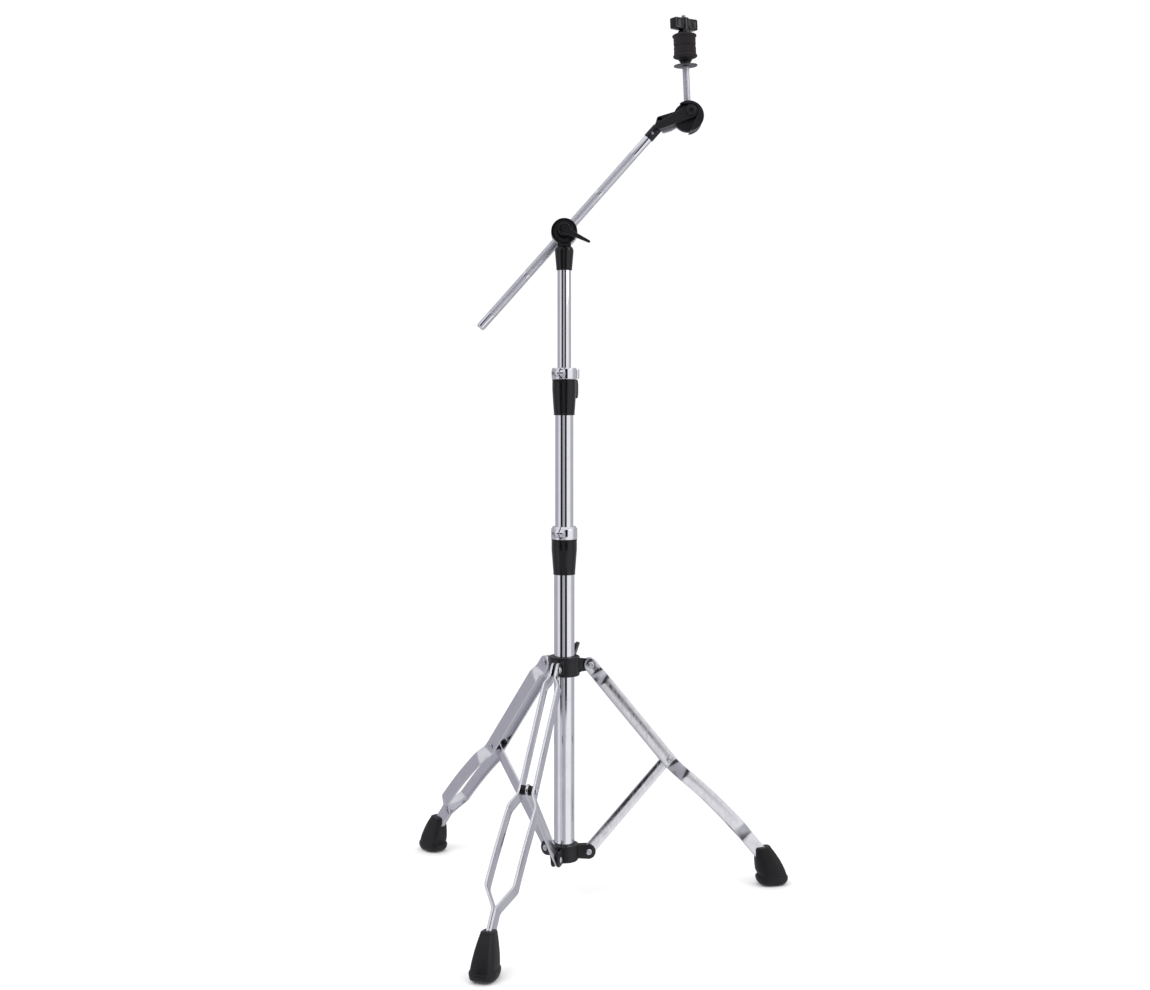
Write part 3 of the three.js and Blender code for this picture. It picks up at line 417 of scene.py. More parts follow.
def softened(obj, width, segments=2, angle=35):  # breaks the sharp edges and smooths the rest
    editing(obj)
    bpy.ops.mesh.remove_doubles(threshold=mergeGap)
    bpy.ops.mesh.dissolve_limited(angle_limit=math.radians(0.5))
    doneEditing()
    bevel = obj.modifiers.new("bevel", "BEVEL")
    bevel.width = width * mm
    bevel.segments = segments
    bevel.limit_method = "ANGLE"
    bevel.angle_limit = math.radians(angle)
    pick(obj)
    bpy.ops.object.modifier_apply(modifier=bevel.name)
    return smooth(obj)


def smooth(obj, angle=32):
    pick(obj)
    bpy.ops.object.shade_smooth_by_angle(angle=math.radians(angle))
    return obj


def loft(name, rings):  # rings of points in millimetres, one after another, with both ends closed
    count = len(rings[0])
    bpy.ops.mesh.primitive_circle_add(vertices=count, radius=mm)
    obj = bpy.context.active_object
    obj.name = name
    editing(obj)
    mesh = bmesh.from_edit_mesh(obj.data)
    mesh.verts.ensure_lookup_table()
    for vert, point in zip(mesh.verts, rings[0]):
        vert.co = Vector(point) * mm
    last = {tuple(round(c, 9) for c in vert.co): index for index, vert in enumerate(mesh.verts)}
    for ring in rings[1:]:
        bpy.ops.mesh.extrude_edges_move()
        mesh = bmesh.from_edit_mesh(obj.data)
        chosen = [vert for vert in mesh.verts if vert.select]
        order = {last[tuple(round(c, 9) for c in vert.co)]: vert for vert in chosen}
        for index, point in enumerate(ring):
            order[index].co = Vector(point) * mm
        last = {tuple(round(c, 9) for c in order[index].co): index for index in range(count)}
    bpy.ops.mesh.select_all(action="SELECT")
    bpy.ops.mesh.fill_holes(sides=0)
    bpy.ops.mesh.select_all(action="SELECT")
    bpy.ops.mesh.normals_make_consistent(inside=False)
    doneEditing()
    return obj


def twin(obj, name, matrix):
    copy = obj.copy()
    copy.data = obj.data.copy()
    copy.name = name
    bpy.context.scene.collection.objects.link(copy)
    return moved(copy, matrix)


def keep(obj, name, material, body, slotName, *nodes):
    obj.name = name
    obj.data.name = name
    if material:
        obj.data.materials.clear()
        obj.data.materials.append(material)
    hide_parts(*nodes)
    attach(obj, body)
    return obj


# ---- tubes
tubeSizes = {"base": 14.3, "middle": 12.7, "upper": 9.525, "wall": 1.2, "endFillet": 0.35, "sides": 96}


def makeTubes():
    for name, body in (("base", "base"), ("middle", "middle"), ("upper", "upper")):
        bottom, top = span(f"{name}_tube")
        radius = tubeSizes[name]
        tube = sleeveShape(name, radius - tubeSizes["wall"], radius, bottom, top, tubeSizes["endFillet"],
                           tubeSizes["sides"])
        moved(smooth(tube), mastPlace)
        keep(tube, f"{name}TubeChrome", tubeChrome, body, "chrome_tubes", f"{name}_tube")


makeTubes()
print("tubes made")


# ---- wing bolts, along +X from the thread's tip
wingSizes = {"span": 27, "legSpan": 50, "reach": 15, "thickness": 5, "hubRadius": 5.5, "hubLength": 6,
             "shank": 3, "tipRadius": 4, "fillet": 0.9}


def wingBolt(name, tip, seat, span, tilt):
    size = wingSizes
    start = seat + 0.3
    hubEnd = start + size["hubLength"] + 3
    hub = laidAlongX(spun(name, [(0, tip), (size["shank"], tip, 0.5), (size["shank"], start),
                                 (size["hubRadius"], start, 0.6), (size["hubRadius"], hubEnd - 3, 1.0),
                                 (size["hubRadius"] - 1.5, hubEnd, 1.0), (0, hubEnd)], 48))
    half, thick, corner = span / 2, size["thickness"] / 2, size["tipRadius"]
    far = start + size["reach"] - corner
    outline = [(start + 3.5, 0, 4.4)]
    for side in (-1, 1):
        outline += [(far, side * (half - corner), corner),
                    (start + size["hubLength"], side * (half - corner - 1), corner)]
    outline += [(far + 0.8, side * (half - corner) * 0.5, corner) for side in (-1, 1)]
    blade = softened(slab("blade", outline, -thick, thick), size["fillet"], 3)
    bolt = smooth(joined(hub, blade))
    return moved(bolt, Matrix.Rotation(tilt, 4, "X"))


def makeWingBolts():
    legTilt = math.radians(20)
    wide, narrow = wingSizes["legSpan"], wingSizes["span"]
    places = (("leg_wing_turn", "leg_wing_bolt", "leg_wing", 14.9, 25.55, wide, legTilt),
              ("lower_wing_turn", "lower_wing_bolt", "lower_wing", 16.1, 23.0, narrow, 0.0),
              ("upper_wing_turn", "upper_wing_bolt", "upper_wing", 12.925, 22.0, narrow, 0.0))
    for joint, node, body, tip, seat, wingSpan, tilt in places:
        bolt = wingBolt(node, tip, seat, wingSpan, tilt)
        moved(bolt, axesMatrix(jointPoint(joint), jointAxis(joint), Vector((0, 0, 1))))
        keep(bolt, node.replace("_", " ").title().replace(" ", ""), blackPlastic, body, "black_plastic", node)


makeWingBolts()
print("wing bolts made")


# ---- height collars, their memory locks and key bolts
collarSizes = {"lower": {"bottom": 15.35, "top": 18.0, "outer": 14.3, "inner": 12.7, "grip": 25, "height": 49,
                         "body": "base"}, "upper": {"bottom": 14.6, "top": 17.0, "outer": 12.7,
                                                    "inner": 9.525, "grip": 27, "height": 50,
                                                    "body": "middle"}, }
lockSizes = {"lower": {"radius": 18.3, "shoulder": 3.6}, "upper": {"radius": 17.6, "shoulder": 1.6}}
keySizes = {"earDepth": 5, "earWidth": 12, "slot": 1.6, "head": 2.9, "azimuth": 252}


def makeCollar(which):
    size = collarSizes[which]
    bottom, top = span(f"{which}_collar")
    seatRadius = size["inner"] + 2.8
    tubeTop, lip = bottom + size["grip"] + 0.3, top - 3.6
    shell = spun("shell", [(size["outer"] + 0.3, bottom), (size["bottom"] + 0.15, bottom, 0.5),
                           (size["bottom"] + 0.15, bottom + 1.6, 0.3),
                           (size["bottom"] - 0.1, bottom + 2.0, 0.2), (size["bottom"] + 0.9, bottom + 15),
                           (size["top"] - 0.25, top - 14, 20), (size["top"] - 0.25, top - 3.6, 0.2),
                           (size["top"] - 0.6, top - 3.2, 0.15), (size["top"] - 0.6, top - 2.7, 0.15),
                           (size["top"], top - 2.4, 0.3), (size["top"], top, 0.9),
                           (size["inner"] + 0.6, top, 0.4), (size["inner"] + 0.6, lip), (seatRadius, lip),
                           (seatRadius, tubeTop), (size["outer"] + 0.3, tubeTop),
                           (size["outer"] + 0.3, bottom)], 96)
    joint = jointPoint(f"{which}_wing_turn")
    axis = jointAxis(f"{which}_wing_turn")
    turn = math.atan2(axis.y, axis.x)
    wingHeight = joint.z / mm
    reach = size["top"] + 5
    boss = spun("boss", [(0, size["inner"] + 5), (8.2, size["inner"] + 5), (7.6, reach - 1, 0.8),
                         (7, reach, 0.9), (3.3, reach, 0.4), (3.3, reach - 3), (0, reach - 3)], 48)
    shifted(laidAlongX(boss), z=wingHeight)
    moved(boss, Matrix.Rotation(turn, 4, "Z"))
    bore = rod("bore", 3.3, size["inner"] + 3.2, reach - 2, sides=32)
    shifted(laidAlongX(bore), z=wingHeight)
    moved(bore, Matrix.Rotation(turn, 4, "Z"))
    joined(shell, boss)
    carved(shell, bore)
    moved(smooth(shell, 30), mastPlace)
    keep(shell, f"{which}CollarShell", blackPlastic, size["body"], "black_plastic", f"{which}_collar")


def makeLock(which):
    size = lockSizes[which]
    body = collarSizes[which]["body"]
    inner = collarSizes[which]["inner"] + 0.3
    bottom, top = span(f"{which}_memory_lock")
    radius, shoulder = size["radius"], size["shoulder"]
    band = spun("band", [(inner, bottom), (radius, bottom, 0.5), (radius, top - shoulder, 1.0),
                         (radius - min(shoulder, 2.4), top, 0.7), (inner, top, 0.4), (inner, bottom)], 96)
    earEnd = radius + keySizes["earDepth"]
    half = keySizes["earWidth"] / 2
    middle = (bottom + top) / 2
    ear = slab("ear", [(radius - 2, middle, (top - bottom) / 2 - 2.6), (earEnd - 4, middle, 4.2)], -half,
               half)
    softened(ear, 0.8, 3)
    parts = [ear]
    if which == "upper":
        bump = rod("bump", 4.5, bottom + 0.2, top - 1.8, 1.2)
        parts.append(moved(shifted(bump, radius - 1), Matrix.Rotation(-math.radians(keySizes["azimuth"]), 4,
                                                                      "Z")))
    joined(band, *parts)
    slot = brick("slot", 0, earEnd + 1, -keySizes["slot"] / 2, keySizes["slot"] / 2, bottom - 1, top + 1)
    boltAt = (radius + earEnd) / 2
    hole = shifted(laidAlongY(rod("hole", 2.3, -half - 1, half + 1, sides=24)), boltAt, 0, middle)
    core = rod("core", inner, bottom - 1, top + 1, sides=96)
    carved(band, slot, hole, core)
    around = mastPlace @ Matrix.Rotation(math.radians(keySizes["azimuth"]), 4, "Z")
    moved(smooth(band, 30), around)
    keep(band, f"{which}LockBand", fittingChrome, body, "chrome_fittings", f"{which}_memory_lock")

    head = keySizes["head"]
    square = softened(brick("square", -head, head, -half - 5.2, -half - 1.1, -head, head), 0.5, 3)
    washer = laidAlongY(rod("washer", 4.0, -half - 1.3, -half - 0.15, 0.3))
    shank = laidAlongY(rod("shank", 2.0, -half - 0.4, half + 1.5, 0.4, 32))
    nut = laidAlongY(spun("nut", [(2.1, half + 0.1), (3.6, half + 0.1, 0.3), (3.6, half + 1.6, 0.5),
                                  (2.1, half + 1.6), (2.1, half + 0.1)], 6))
    joined(square, washer, shank, nut)
    moved(shifted(smooth(square, 30), boltAt, 0, middle), around)
    keep(square, f"{which}KeyBolt", zincSteel, body, "steel_fasteners", f"{which}_key_bolt")


for which in ("lower", "upper"):
    makeCollar(which)
    makeLock(which)
print("collars and memory locks made")


# ---- legs
legSizes = {"width": 19, "thickness": 3, "topSpread": 3.5, "midSpread": 9.8, "lowSpread": 18.7,
            "footSpread": 1.8, "play": 0.75, "kneeBend": 10.7, "kneeLength": 30, "shinBend": 10,
            "shinLength": 140, "ankleLength": 44, "fillet": 0.7, }
braceSizes = {"width": 16, "thickness": 3.3, "fillet": 0.7}


def legLine():  # the strip's centre line in the leg's plane: radius, height and heading below level
    slope = math.atan2(legTop[1] - knee[1], knee[0] - legTop[0])
    length = math.hypot(legTop[1] - knee[1], knee[0] - legTop[0])
    line = [(legTop[0] + t * math.cos(slope), legTop[1] - t * math.sin(slope), slope)
            for t in (0, 15, 20.5, 26, 40, 80, 120, 160, length)]
    r, z, angle = line[-1]
    bends = ((legSizes["kneeLength"], -math.radians(legSizes["kneeBend"]), 8),
             (legSizes["shinLength"], math.radians(legSizes["shinBend"]), 26),
             (legSizes["ankleLength"], 0, 6))
    for run, turn, steps in bends:
        for step in range(steps):
            middle = angle + turn / steps / 2
            r += run / steps * math.cos(middle)
            z -= run / steps * math.sin(middle)
            angle += turn / steps
            line.append((r, z, angle))
    return line


legPath = legLine()
legEnd = legPath[-1]
chord = math.atan2(legTop[1] - legEnd[1], legEnd[0] - legTop[0])


def alongChord(r, z):
    return (r - legTop[0]) * math.cos(chord) + (legTop[1] - z) * math.sin(chord)


def spreadAt(distance):  # how far the strip stands off the leg's middle plane, with the bends rounded
    kneeAt, endAt = alongChord(*knee), alongChord(legEnd[0], legEnd[1]) + 5
    stops = [(-20, legSizes["topSpread"]), (15, legSizes["topSpread"]), (26, legSizes["midSpread"]),
             (kneeAt + 9, legSizes["midSpread"]), (kneeAt + 27, legSizes["lowSpread"]),
             (endAt - 80, legSizes["lowSpread"]), (endAt - 52, legSizes["footSpread"]),
             (endAt + 20, legSizes["footSpread"])]
    total = 0.0
    reach = 2.6  # half the length that each bend is spread over
    samples = 9
    for sample in range(samples):
        at = distance + reach * (2 * sample / (samples - 1) - 1)
        for (a, low), (b, high) in zip(stops, stops[1:]):
            if a <= at <= b:
                total += low + (high - low) * (at - a) / (b - a)
                break
    return total / samples


def resample(line, step):
    points = []
    for (r0, z0, a0), (r1, z1, a1) in zip(line, line[1:]):
        run = math.hypot(r1 - r0, z1 - z0)
        pieces = max(1, round(run / step))
        for k in range(pieces):
            t = k / pieces
            points.append((r0 + (r1 - r0) * t, z0 + (z1 - z0) * t, a0 + (a1 - a0) * t))
    points.append(line[-1])
    return points


def stripRings(side):
    half, thick = legSizes["width"] / 2, legSizes["thickness"] / 2
    stations = []
    for k in range(8):  # the rounded end above the pivot
        turn = math.pi / 2 * (k + 0.6) / 8.6
        back = half * math.cos(turn)
        slope = legPath[0][2]
        stations.append((legTop[0] - back * math.cos(slope), legTop[1] + back * math.sin(slope), slope,
                         half * math.sin(turn)))
    stations += [(r, z, angle, half) for r, z, angle in resample(legPath, 2.6)]
    rings = []
    for r, z, angle, wide in stations:
        distance = alongChord(r, z)
        offset = spreadAt(distance)
        lean = math.atan((spreadAt(distance + 0.5) - spreadAt(distance - 0.5)))
        across = Vector((math.sin(angle), 0, math.cos(angle)))
        out = Vector((-math.sin(lean) * math.cos(angle), math.cos(lean), math.sin(lean) * math.sin(angle)))
        centre = Vector((r, offset, z))
        fillet = min(legSizes["fillet"], wide * 0.45)
        ring = []
        for cx, cy in ((1, 1), (-1, 1), (-1, -1), (1, -1)):
            for k in range(4):
                turn = math.atan2(cy, cx) + math.radians(-45 + 30 * k)
                ring.append(centre + across * (cx * (wide - fillet) + fillet * math.cos(turn))
                            + out * (cy * (thick - fillet) + fillet * math.sin(turn)))
        rings.append([Vector((p.x, p.y * side, p.z)) for p in ring])
    return rings


def rivetShape(name, head, height, reach, shank=2.5):  # a pin along Y with a domed, dimpled head at both ends
    end = reach + height
    half = [(0, end - 0.55), (head * 0.30, end - 0.5, 0.4), (head * 0.42, end, 0.3),
            (head * 0.72, end - 0.05, 0.8), (head, end - height * 0.55, 0.6), (head, reach, 0.25),
            (shank, reach)]
    profile = [(p[0], -p[1], *p[2:]) for p in half] + list(reversed(half))
    return smooth(laidAlongY(spun(name, profile, 48)), 35)


footSizes = {"length": 46, "width": 35, "height": 54, "topLength": 23, "topWidth": 18,
             "lean": 13}


def footRing(z, centre, length, width, square, ribs=0.0, tilt=0.0,
             notch=0.0):  # one rounded outline of the rubber foot; square goes from 2 (oval) to 5 (boxy)
    ring = []
    count = 96
    for k in range(count):
        turn = 2 * math.pi * k / count
        c, s = math.cos(turn), math.sin(turn)
        grow = (abs(c) ** square + abs(s) ** square) ** (-1 / square)
        rib = 1.0
        if ribs:
            rib = 1 + ribs * max(0.0, math.cos(24 * turn)) * (0.6 + 0.4 * c)
        x = length / 2 * c * grow * rib
        y = width / 2 * s * grow * rib
        if notch and c < 0:
            x += notch * (-c) ** 3
        ring.append(Vector((centre + x, y, z + tilt * x)))
    return ring


def makeFootShape():
    size = footSizes
    base = legEnd[0] + 7
    rings = []
    # the tread: a flat patch in the middle, then up to the band
    for z, length, width, ribs in ((0, 18, 16, 0.0), (0, 27, 24, 0.02), (0.5, 31, 27, 0.035),
                                   (1.5, 35.5, 29.5, 0.045), (3.0, 39.5, 31.8, 0.045),
                                   (5.0, 42.6, 33.4, 0.035), (7.2, 44.8, 34.3, 0.02),
                                   (9.4, 45.8, 34.6, 0.008), (11.4, 45.8, 34.5, 0.0), (12.2, 44.8, 33.6, 0.0),
                                   (12.5, 43.4, 32.4, 0.0)):
        rings.append(footRing(z, base, length, width, 2.8, ribs))
    for k in range(15):
        t = k / 14
        bulge = 1 - t ** 1.7
        length = size["topLength"] + (43.0 - size["topLength"]) * bulge
        width = size["topWidth"] + (31.8 - size["topWidth"]) * (1 - t ** 1.35)
        centre = base - size["lean"] * t ** 1.15 - 0.3
        z = 12.6 + (size["height"] - 2.2 - 12.6) * t
        notch = 2.6 * math.exp(-((t - 0.06) / 0.10) ** 2)
        rings.append(footRing(z, centre, length, width, 2.9 + 0.5 * t, notch=notch, tilt=0.10 * t))
    last = rings[-1]
    top = sum((p for p in last), Vector()) / len(last)
    for inset, rise in ((0.965, 1.0), (0.90, 1.7), (0.80, 2.0)):
        rings.append([top + Vector(((p.x - top.x) * inset, (p.y - top.y) * inset,
                                    p.z - top.z + rise)) for p in last])
    foot = loft("foot", rings)
    pocketHalf = legSizes["footSpread"] + legSizes["thickness"] / 2 + 0.35
    wide = legSizes["width"] / 2 + 0.35
    slope = legEnd[2]
    reachUp = 60
    pocket = brick("pocket", -reachUp, 2, -pocketHalf, pocketHalf, -wide, wide)
    moved(pocket, Matrix.Translation((legEnd[0] * mm, 0, legEnd[1] * mm)) @ Matrix.Rotation(slope, 4, "Y"))
    carved(foot, pocket)
    return smooth(foot, 40)


def makeLegs():
    strips = {}
    for sideName, side in (("left", 1), ("right", -1)):
        strip = loft(sideName, stripRings(side))
        topHole = shifted(laidAlongY(rod("topHole", 3.5, -30, 30, sides=48)), legTop[0], 0, legTop[1])
        kneeHole = shifted(laidAlongY(rod("kneeHole", 2.8, -30, 30, sides=48)), knee[0], 0, knee[1])
        strips[sideName] = smooth(carved(strip, topHole, kneeHole), 38)
    foot = makeFootShape()
    brace = slab("brace", [(*braceFoot, braceSizes["width"] / 2), (*knee, braceSizes["width"] / 2)],
                 -braceSizes["thickness"] / 2, braceSizes["thickness"] / 2, 64)
    softened(brace, braceSizes["fillet"], 3, 60)
    for across, up in (braceFoot, knee):
        carved(brace, shifted(laidAlongY(rod("hole", 2.8, -10, 10, sides=48)), across, 0, up))
    smooth(brace, 38)
    stripOuter = legSizes["thickness"] / 2 + 0.3
    kneeRivet = shifted(rivetShape("knee", 4.4, 1.9, legSizes["midSpread"] + stripOuter), knee[0], 0, knee[1])
    boltReach = legSizes["topSpread"] + legSizes["thickness"] / 2 + legSizes["play"]
    legBolt = shifted(rivetShape("bolt", 4.4, 1.9, boltReach), legTop[0], 0, legTop[1])
    braceRivet = shifted(rivetShape("rivet", 4.2, 1.9, 5.7), braceFoot[0], 0, braceFoot[1])
    spacers = {}
    inner, outer = braceSizes["thickness"] / 2 + 0.3, legSizes["midSpread"] - legSizes["thickness"] / 2 - 0.3
    for sideName, low, high in (("left", inner, outer), ("right", -outer, -inner)):
        bush = laidAlongY(spun("bush", [(2.8, low), (6.5, low, 0.5), (6.5, low + 1.2, 0.3),
                                        (6.1, low + 1.5, 0.2), (6.1, high - 1.5, 0.2), (6.5, high - 1.2, 0.3),
                                        (6.5, high, 0.5), (2.8, high), (2.8, low)], 48))
        spacers[sideName] = smooth(shifted(bush, knee[0], 0, knee[1]))
    for side in sideNames:
        at = legPlace(side)
        leg, braceBody = f"leg_{side}", f"brace_{side}"
        label = side.title()
        for sideName, strip in strips.items():
            keep(twin(strip, "strip", at), f"legStrip{sideName.title()}{label}", stripChrome, leg,
                 "chrome_strips", f"leg_strip_{sideName}_{side}")
            keep(twin(spacers[sideName], "spacer", at), f"spacer{sideName.title()}{label}", blackNylon, leg,
                 "black_nylon", f"spacer_{sideName}_{side}")
        keep(twin(foot, "foot", at), f"foot{label}", blackRubber, leg, "rubber_feet", f"foot_{side}")
        keep(twin(kneeRivet, "rivet", at), f"kneeRivet{label}", zincSteel, leg, "steel_fasteners",
             f"knee_rivet_{side}")
        keep(twin(legBolt, "bolt", at), f"legBolt{label}", zincSteel, "leg_collar", "steel_fasteners",
             f"leg_bolt_{side}")
        keep(twin(braceRivet, "rivet", at), f"braceRivet{label}", zincSteel, "base", "steel_fasteners",
             f"brace_rivet_{side}")
        keep(twin(brace, "brace", at), f"brace{label}", stripChrome, braceBody, "chrome_strips",
             f"brace_{side}")
    for master in [foot, brace, kneeRivet, legBolt, braceRivet, *strips.values(), *spacers.values()]:
        bpy.data.objects.remove(master)


makeLegs()
print("legs made")


# ---- brackets
bracketSizes = {"earInner": 2.0, "earThickness": 3.4, "earRadius": 10, "legInner": 14.95, "legWall": 6.6}


def legAngle(side):
    axis = jointAxis(foldJoints[side])
    return math.atan2(axis.x, -axis.y)


def makeBraceBracket():
    bottom, top = span("brace_bracket")
    bottom = min(bottom, 54.0)
    top = bottom + 23
    outer = 19.8
    body = spun("body", [(5, bottom), (outer - 1.2, bottom, 1.2), (outer, bottom + 2, 0.8),
                         (outer, bottom + 5, 0.3), (outer - 0.5, bottom + 5.5, 0.3),
                         (outer - 0.5, top - 5, 0.3), (outer, top - 4.5, 0.3), (outer, top, 1.2),
                         (14.6, top, 0.4), (14.6, 59.7), (5, 59.7), (5, bottom)], 96)
    ears = []
    for side in sideNames:
        turn = Matrix.Rotation(legAngle(side), 4, "Z")
        for sign in (-1, 1):
            inner = bracketSizes["earInner"] * sign
            far = (bracketSizes["earInner"] + bracketSizes["earThickness"]) * sign
            ear = slab("ear", [(outer - 4.2, (bottom + top) / 2, 9.2),
                               (*braceFoot, bracketSizes["earRadius"])], min(inner, far), max(inner, far), 48)
            ears.append(moved(softened(ear, 0.6, 2), turn))
    joined(body, *ears)
    bores = [rod("core", 14.6, 59.7, top + 1, sides=96)]
    for side in sideNames:
        hole = shifted(laidAlongY(rod("hole", 2.8, -10, 10, sides=24)), braceFoot[0], 0, braceFoot[1])
        bores.append(moved(hole, Matrix.Rotation(legAngle(side), 4, "Z")))
    carved(body, *bores)
    moved(smooth(body, 30), mastPlace)
    keep(body, "braceBracketCasting", blackCasting, "base", "black_castings", "brace_bracket")


def makeLegBracket():
    middle = legTop[1]
    half = 13.5
    inner = bracketSizes["legInner"]
    outer = inner + bracketSizes["legWall"]
    body = spun("body", [(inner, -half), (outer, -half, 1.4), (outer, -half + 4, 0.4),
                         (outer - 0.6, -half + 4.6, 0.4), (outer - 0.6, half - 4.6, 0.4),
                         (outer, half - 4, 0.4), (outer, half, 1.4), (inner, half, 0.5), (inner, -half)], 96)
    lugs = []
    lugHalf = legSizes["topSpread"] - legSizes["thickness"] / 2 - legSizes["play"]
    for side in sideNames:
        lug = slab("lug", [(outer - 6, 0, half - 3), (legTop[0], 0, 8)], -lugHalf, lugHalf, 48)
        pad = slab("pad", [(outer - 4, 3, half - 6), (outer - 4, -3, half - 6)], -7.5, 7.5, 32)
        for part in (softened(pad, 1.0, 3), softened(lug, 0.6, 2)):
            lugs.append(moved(part, Matrix.Rotation(legAngle(side), 4, "Z")))
    axis = jointAxis("leg_wing_turn")
    turn = Matrix.Rotation(math.atan2(axis.y, axis.x), 4, "Z")
    boss = spun("boss", [(0, inner + 1), (8, inner + 1), (7.4, outer + 3, 0.8), (7, outer + 4, 0.6),
                         (0, outer + 4)], 48)
    lugs.append(moved(shifted(laidAlongX(boss), z=4), turn))
    joined(body, *lugs)
    bores = [rod("core", inner, -half - 1, half + 1, sides=96)]
    bores.append(moved(shifted(laidAlongX(rod("hole", 3.3, inner - 2, outer + 5, sides=24)), z=4), turn))
    for side in sideNames:
        hole = shifted(laidAlongY(rod("hole", 2.8, -10, 10, sides=24)), legTop[0])
        bores.append(moved(hole, Matrix.Rotation(legAngle(side), 4, "Z")))
    carved(body, *bores)
    moved(shifted(smooth(body, 30), z=middle), mastPlace)
    keep(body, "legBracketCasting", blackCasting, "leg_collar", "black_castings", "leg_bracket")


makeBraceBracket()
makeLegBracket()
print("brackets made")


# ---- boom clamp, measured from the clamp axis
clampSizes = {"axis": 35.3, "below": 19, "above": 10, "bottomRadius": 11, "topRadius": 13.2, "neck": 19,
              "drum": 18.25, "front": 8, "back": 10.5, "turning": 18.75, "turningBack": 30.5, "boomBack": 20}
leverSizes = {"angle": -26.2, "hub": 8.6, "front": 34, "length": 40, "root": 7.5, "tip": 3.6}


def makeClampSleeve():
    size = clampSizes
    shoulder = size["above"] - size["axis"]
    rim = -size["axis"] - size["below"]
    body = spun("socket", [(9.825, rim), (size["bottomRadius"], rim, 0.5),
                           (size["bottomRadius"] + 0.1, rim + 3, 0.3),
                           (size["topRadius"], shoulder - 1.5, 1.2),
                           (size["topRadius"] - 1.2, shoulder + 2.4, 1.2),
                           (size["topRadius"] - 3.4, shoulder + 4.5, 1.0), (0, shoulder + 4.5),
                           (0, -size["axis"] + 0.3), (9.825, -size["axis"] + 0.3), (9.825, rim)], 96)
    half = size["neck"] / 2
    neck = softened(brick("neck", -half, half, -size["front"] + 1, size["back"] - 1, shoulder, -6), 1.5, 3)
    front, drum = size["front"], size["drum"]
    wheel = spun("wheel", [(0, -front + 1.2), (9.6, -front + 1.2), (10.2, -front + 0.5, 0.3),
                           (11.2, -front + 0.5, 0.3), (11.8, -front + 1.3, 0.3), (14.2, -front + 1.3, 0.3),
                           (14.7, -front + 0.6, 0.25), (15.3, -front + 0.6, 0.25), (15.8, -front + 1.2, 0.3),
                           (16.6, -front + 0.4, 0.4), (17.2, -front, 0.5), (drum, -front + 1.0, 0.6),
                           (drum, size["back"], 0.4), (0, size["back"])], 96)
    joined(body, neck, laidAlongY(wheel))
    carved(body, laidAlongY(rod("hole", 4.2, -40, 40, sides=32)))
    moved(smooth(body, 30), clampPlace)
    keep(body, "clampSleeveMoulding", blackPlastic, "swivel", "black_plastic", "clamp_sleeve")


def makeTurningDrum():
    size = clampSizes
    front, back = size["back"] + 0.3 - size["boomBack"], size["turningBack"] - size["boomBack"]
    radius = size["turning"]
    drum = laidAlongY(spun("drum", [(0, front), (radius, front, 0.5), (radius, front + 3, 0.3),
                                    (radius - 0.7, front + 3.6, 0.3), (radius - 0.7, back - 5, 0.3),
                                    (radius, back - 4.4, 0.3), (radius, back, 2.2), (12, back, 0.5),
                                    (11.2, back - 0.9, 0.4), (0, back - 0.9)], 96))
    way = laidAlongX(rod("way", 6.65, -30, 30, sides=48))
    room = laidAlongX(rod("room", 9.4, -4.8, 4.8, sides=48))
    wayIn = brick("wayIn", -4.8, 4.8, front - 1, 0, -9.4, 9.4)
    carved(drum, way, room, wayIn)
    moved(smooth(drum, 30), armPlace)
    keep(drum, "turningDrumShell", fittingChrome, "clamp", "chrome_fittings", "turning_drum")


def makeClampLever():
    size = leverSizes
    front, back, hubRadius = size["front"], -clampSizes["front"] - 0.3, size["hub"]
    hub = laidAlongY(spun("hub", [(4.2, back), (hubRadius + 1, back, 0.4), (hubRadius - 0.4, back - 4, 1.0),
                                  (hubRadius - 0.6, -front + 9, 0.5), (hubRadius, -front + 7.5, 0.5),
                                  (hubRadius, -front, 0.9), (hubRadius - 1.3, -front, 0.4),
                                  (hubRadius - 2.0, -front + 2.2, 0.5), (3.6, -front + 2.4),
                                  (3.2, -front + 3.0), (0, -front + 3.0), (0, -28.5), (4.2, -28.5),
                                  (4.2, back)], 96))
    star = laidAlongY(spun("star", [(0, -front + 1.6), (1.2, -front + 1.6), (1.5, -front + 1.0, 0.2),
                                    (3.1, -front + 1.0, 0.4), (3.5, -front + 3.2), (0, -front + 3.2)], 6))
    y0, y1 = -front + 2.0, -front + 8.6
    arm = slab("arm", [(6, 0, size["root"] / 2 + 0.3), (size["length"] - size["tip"] / 2, 0,
                                                        size["tip"] / 2)], y0, y1)
    web = slab("web", [(0, 0, 7.4), (14.5, 0, size["root"] / 2 + 0.35)], y0 + 0.8, y1 - 0.4)
    softened(arm, 1.3, 4)
    softened(web, 1.0, 3)
    lift = Matrix.Rotation(-math.radians(size["angle"]), 4, "Y")
    moved(arm, lift)
    moved(web, lift)
    cup = laidAlongY(rod("cup", 6.5, -front - 1, -front + 2.3, sides=64))
    joined(arm, web)
    carved(arm, cup, laidAlongY(rod("thread", 4.2, -29, 0, sides=32)))
    joined(hub, arm, star)
    moved(smooth(hub, 30), clampPlace)
    keep(hub, "clampLeverMoulding", blackPlastic, "lever", "black_plastic", "clamp_lever")


makeClampSleeve()
makeTurningDrum()
makeClampLever()
print("boom clamp made")


# ---- boom arm: bright bands between knurled runs, measured along the arm from the clamp
armSizes = {"radius": 6.35, "tail": 179.5, "reach": 178, "spigot": 5.0, "spigotLength": 16, "chamfer": 2.0,
            "knurlPitch": 0.85, "knurlColumns": 48, "knurlDepth": 0.2,
            "knurls": ((-153.6, -83.0), (-77.0, 70.4), (76.4, 145.9))}


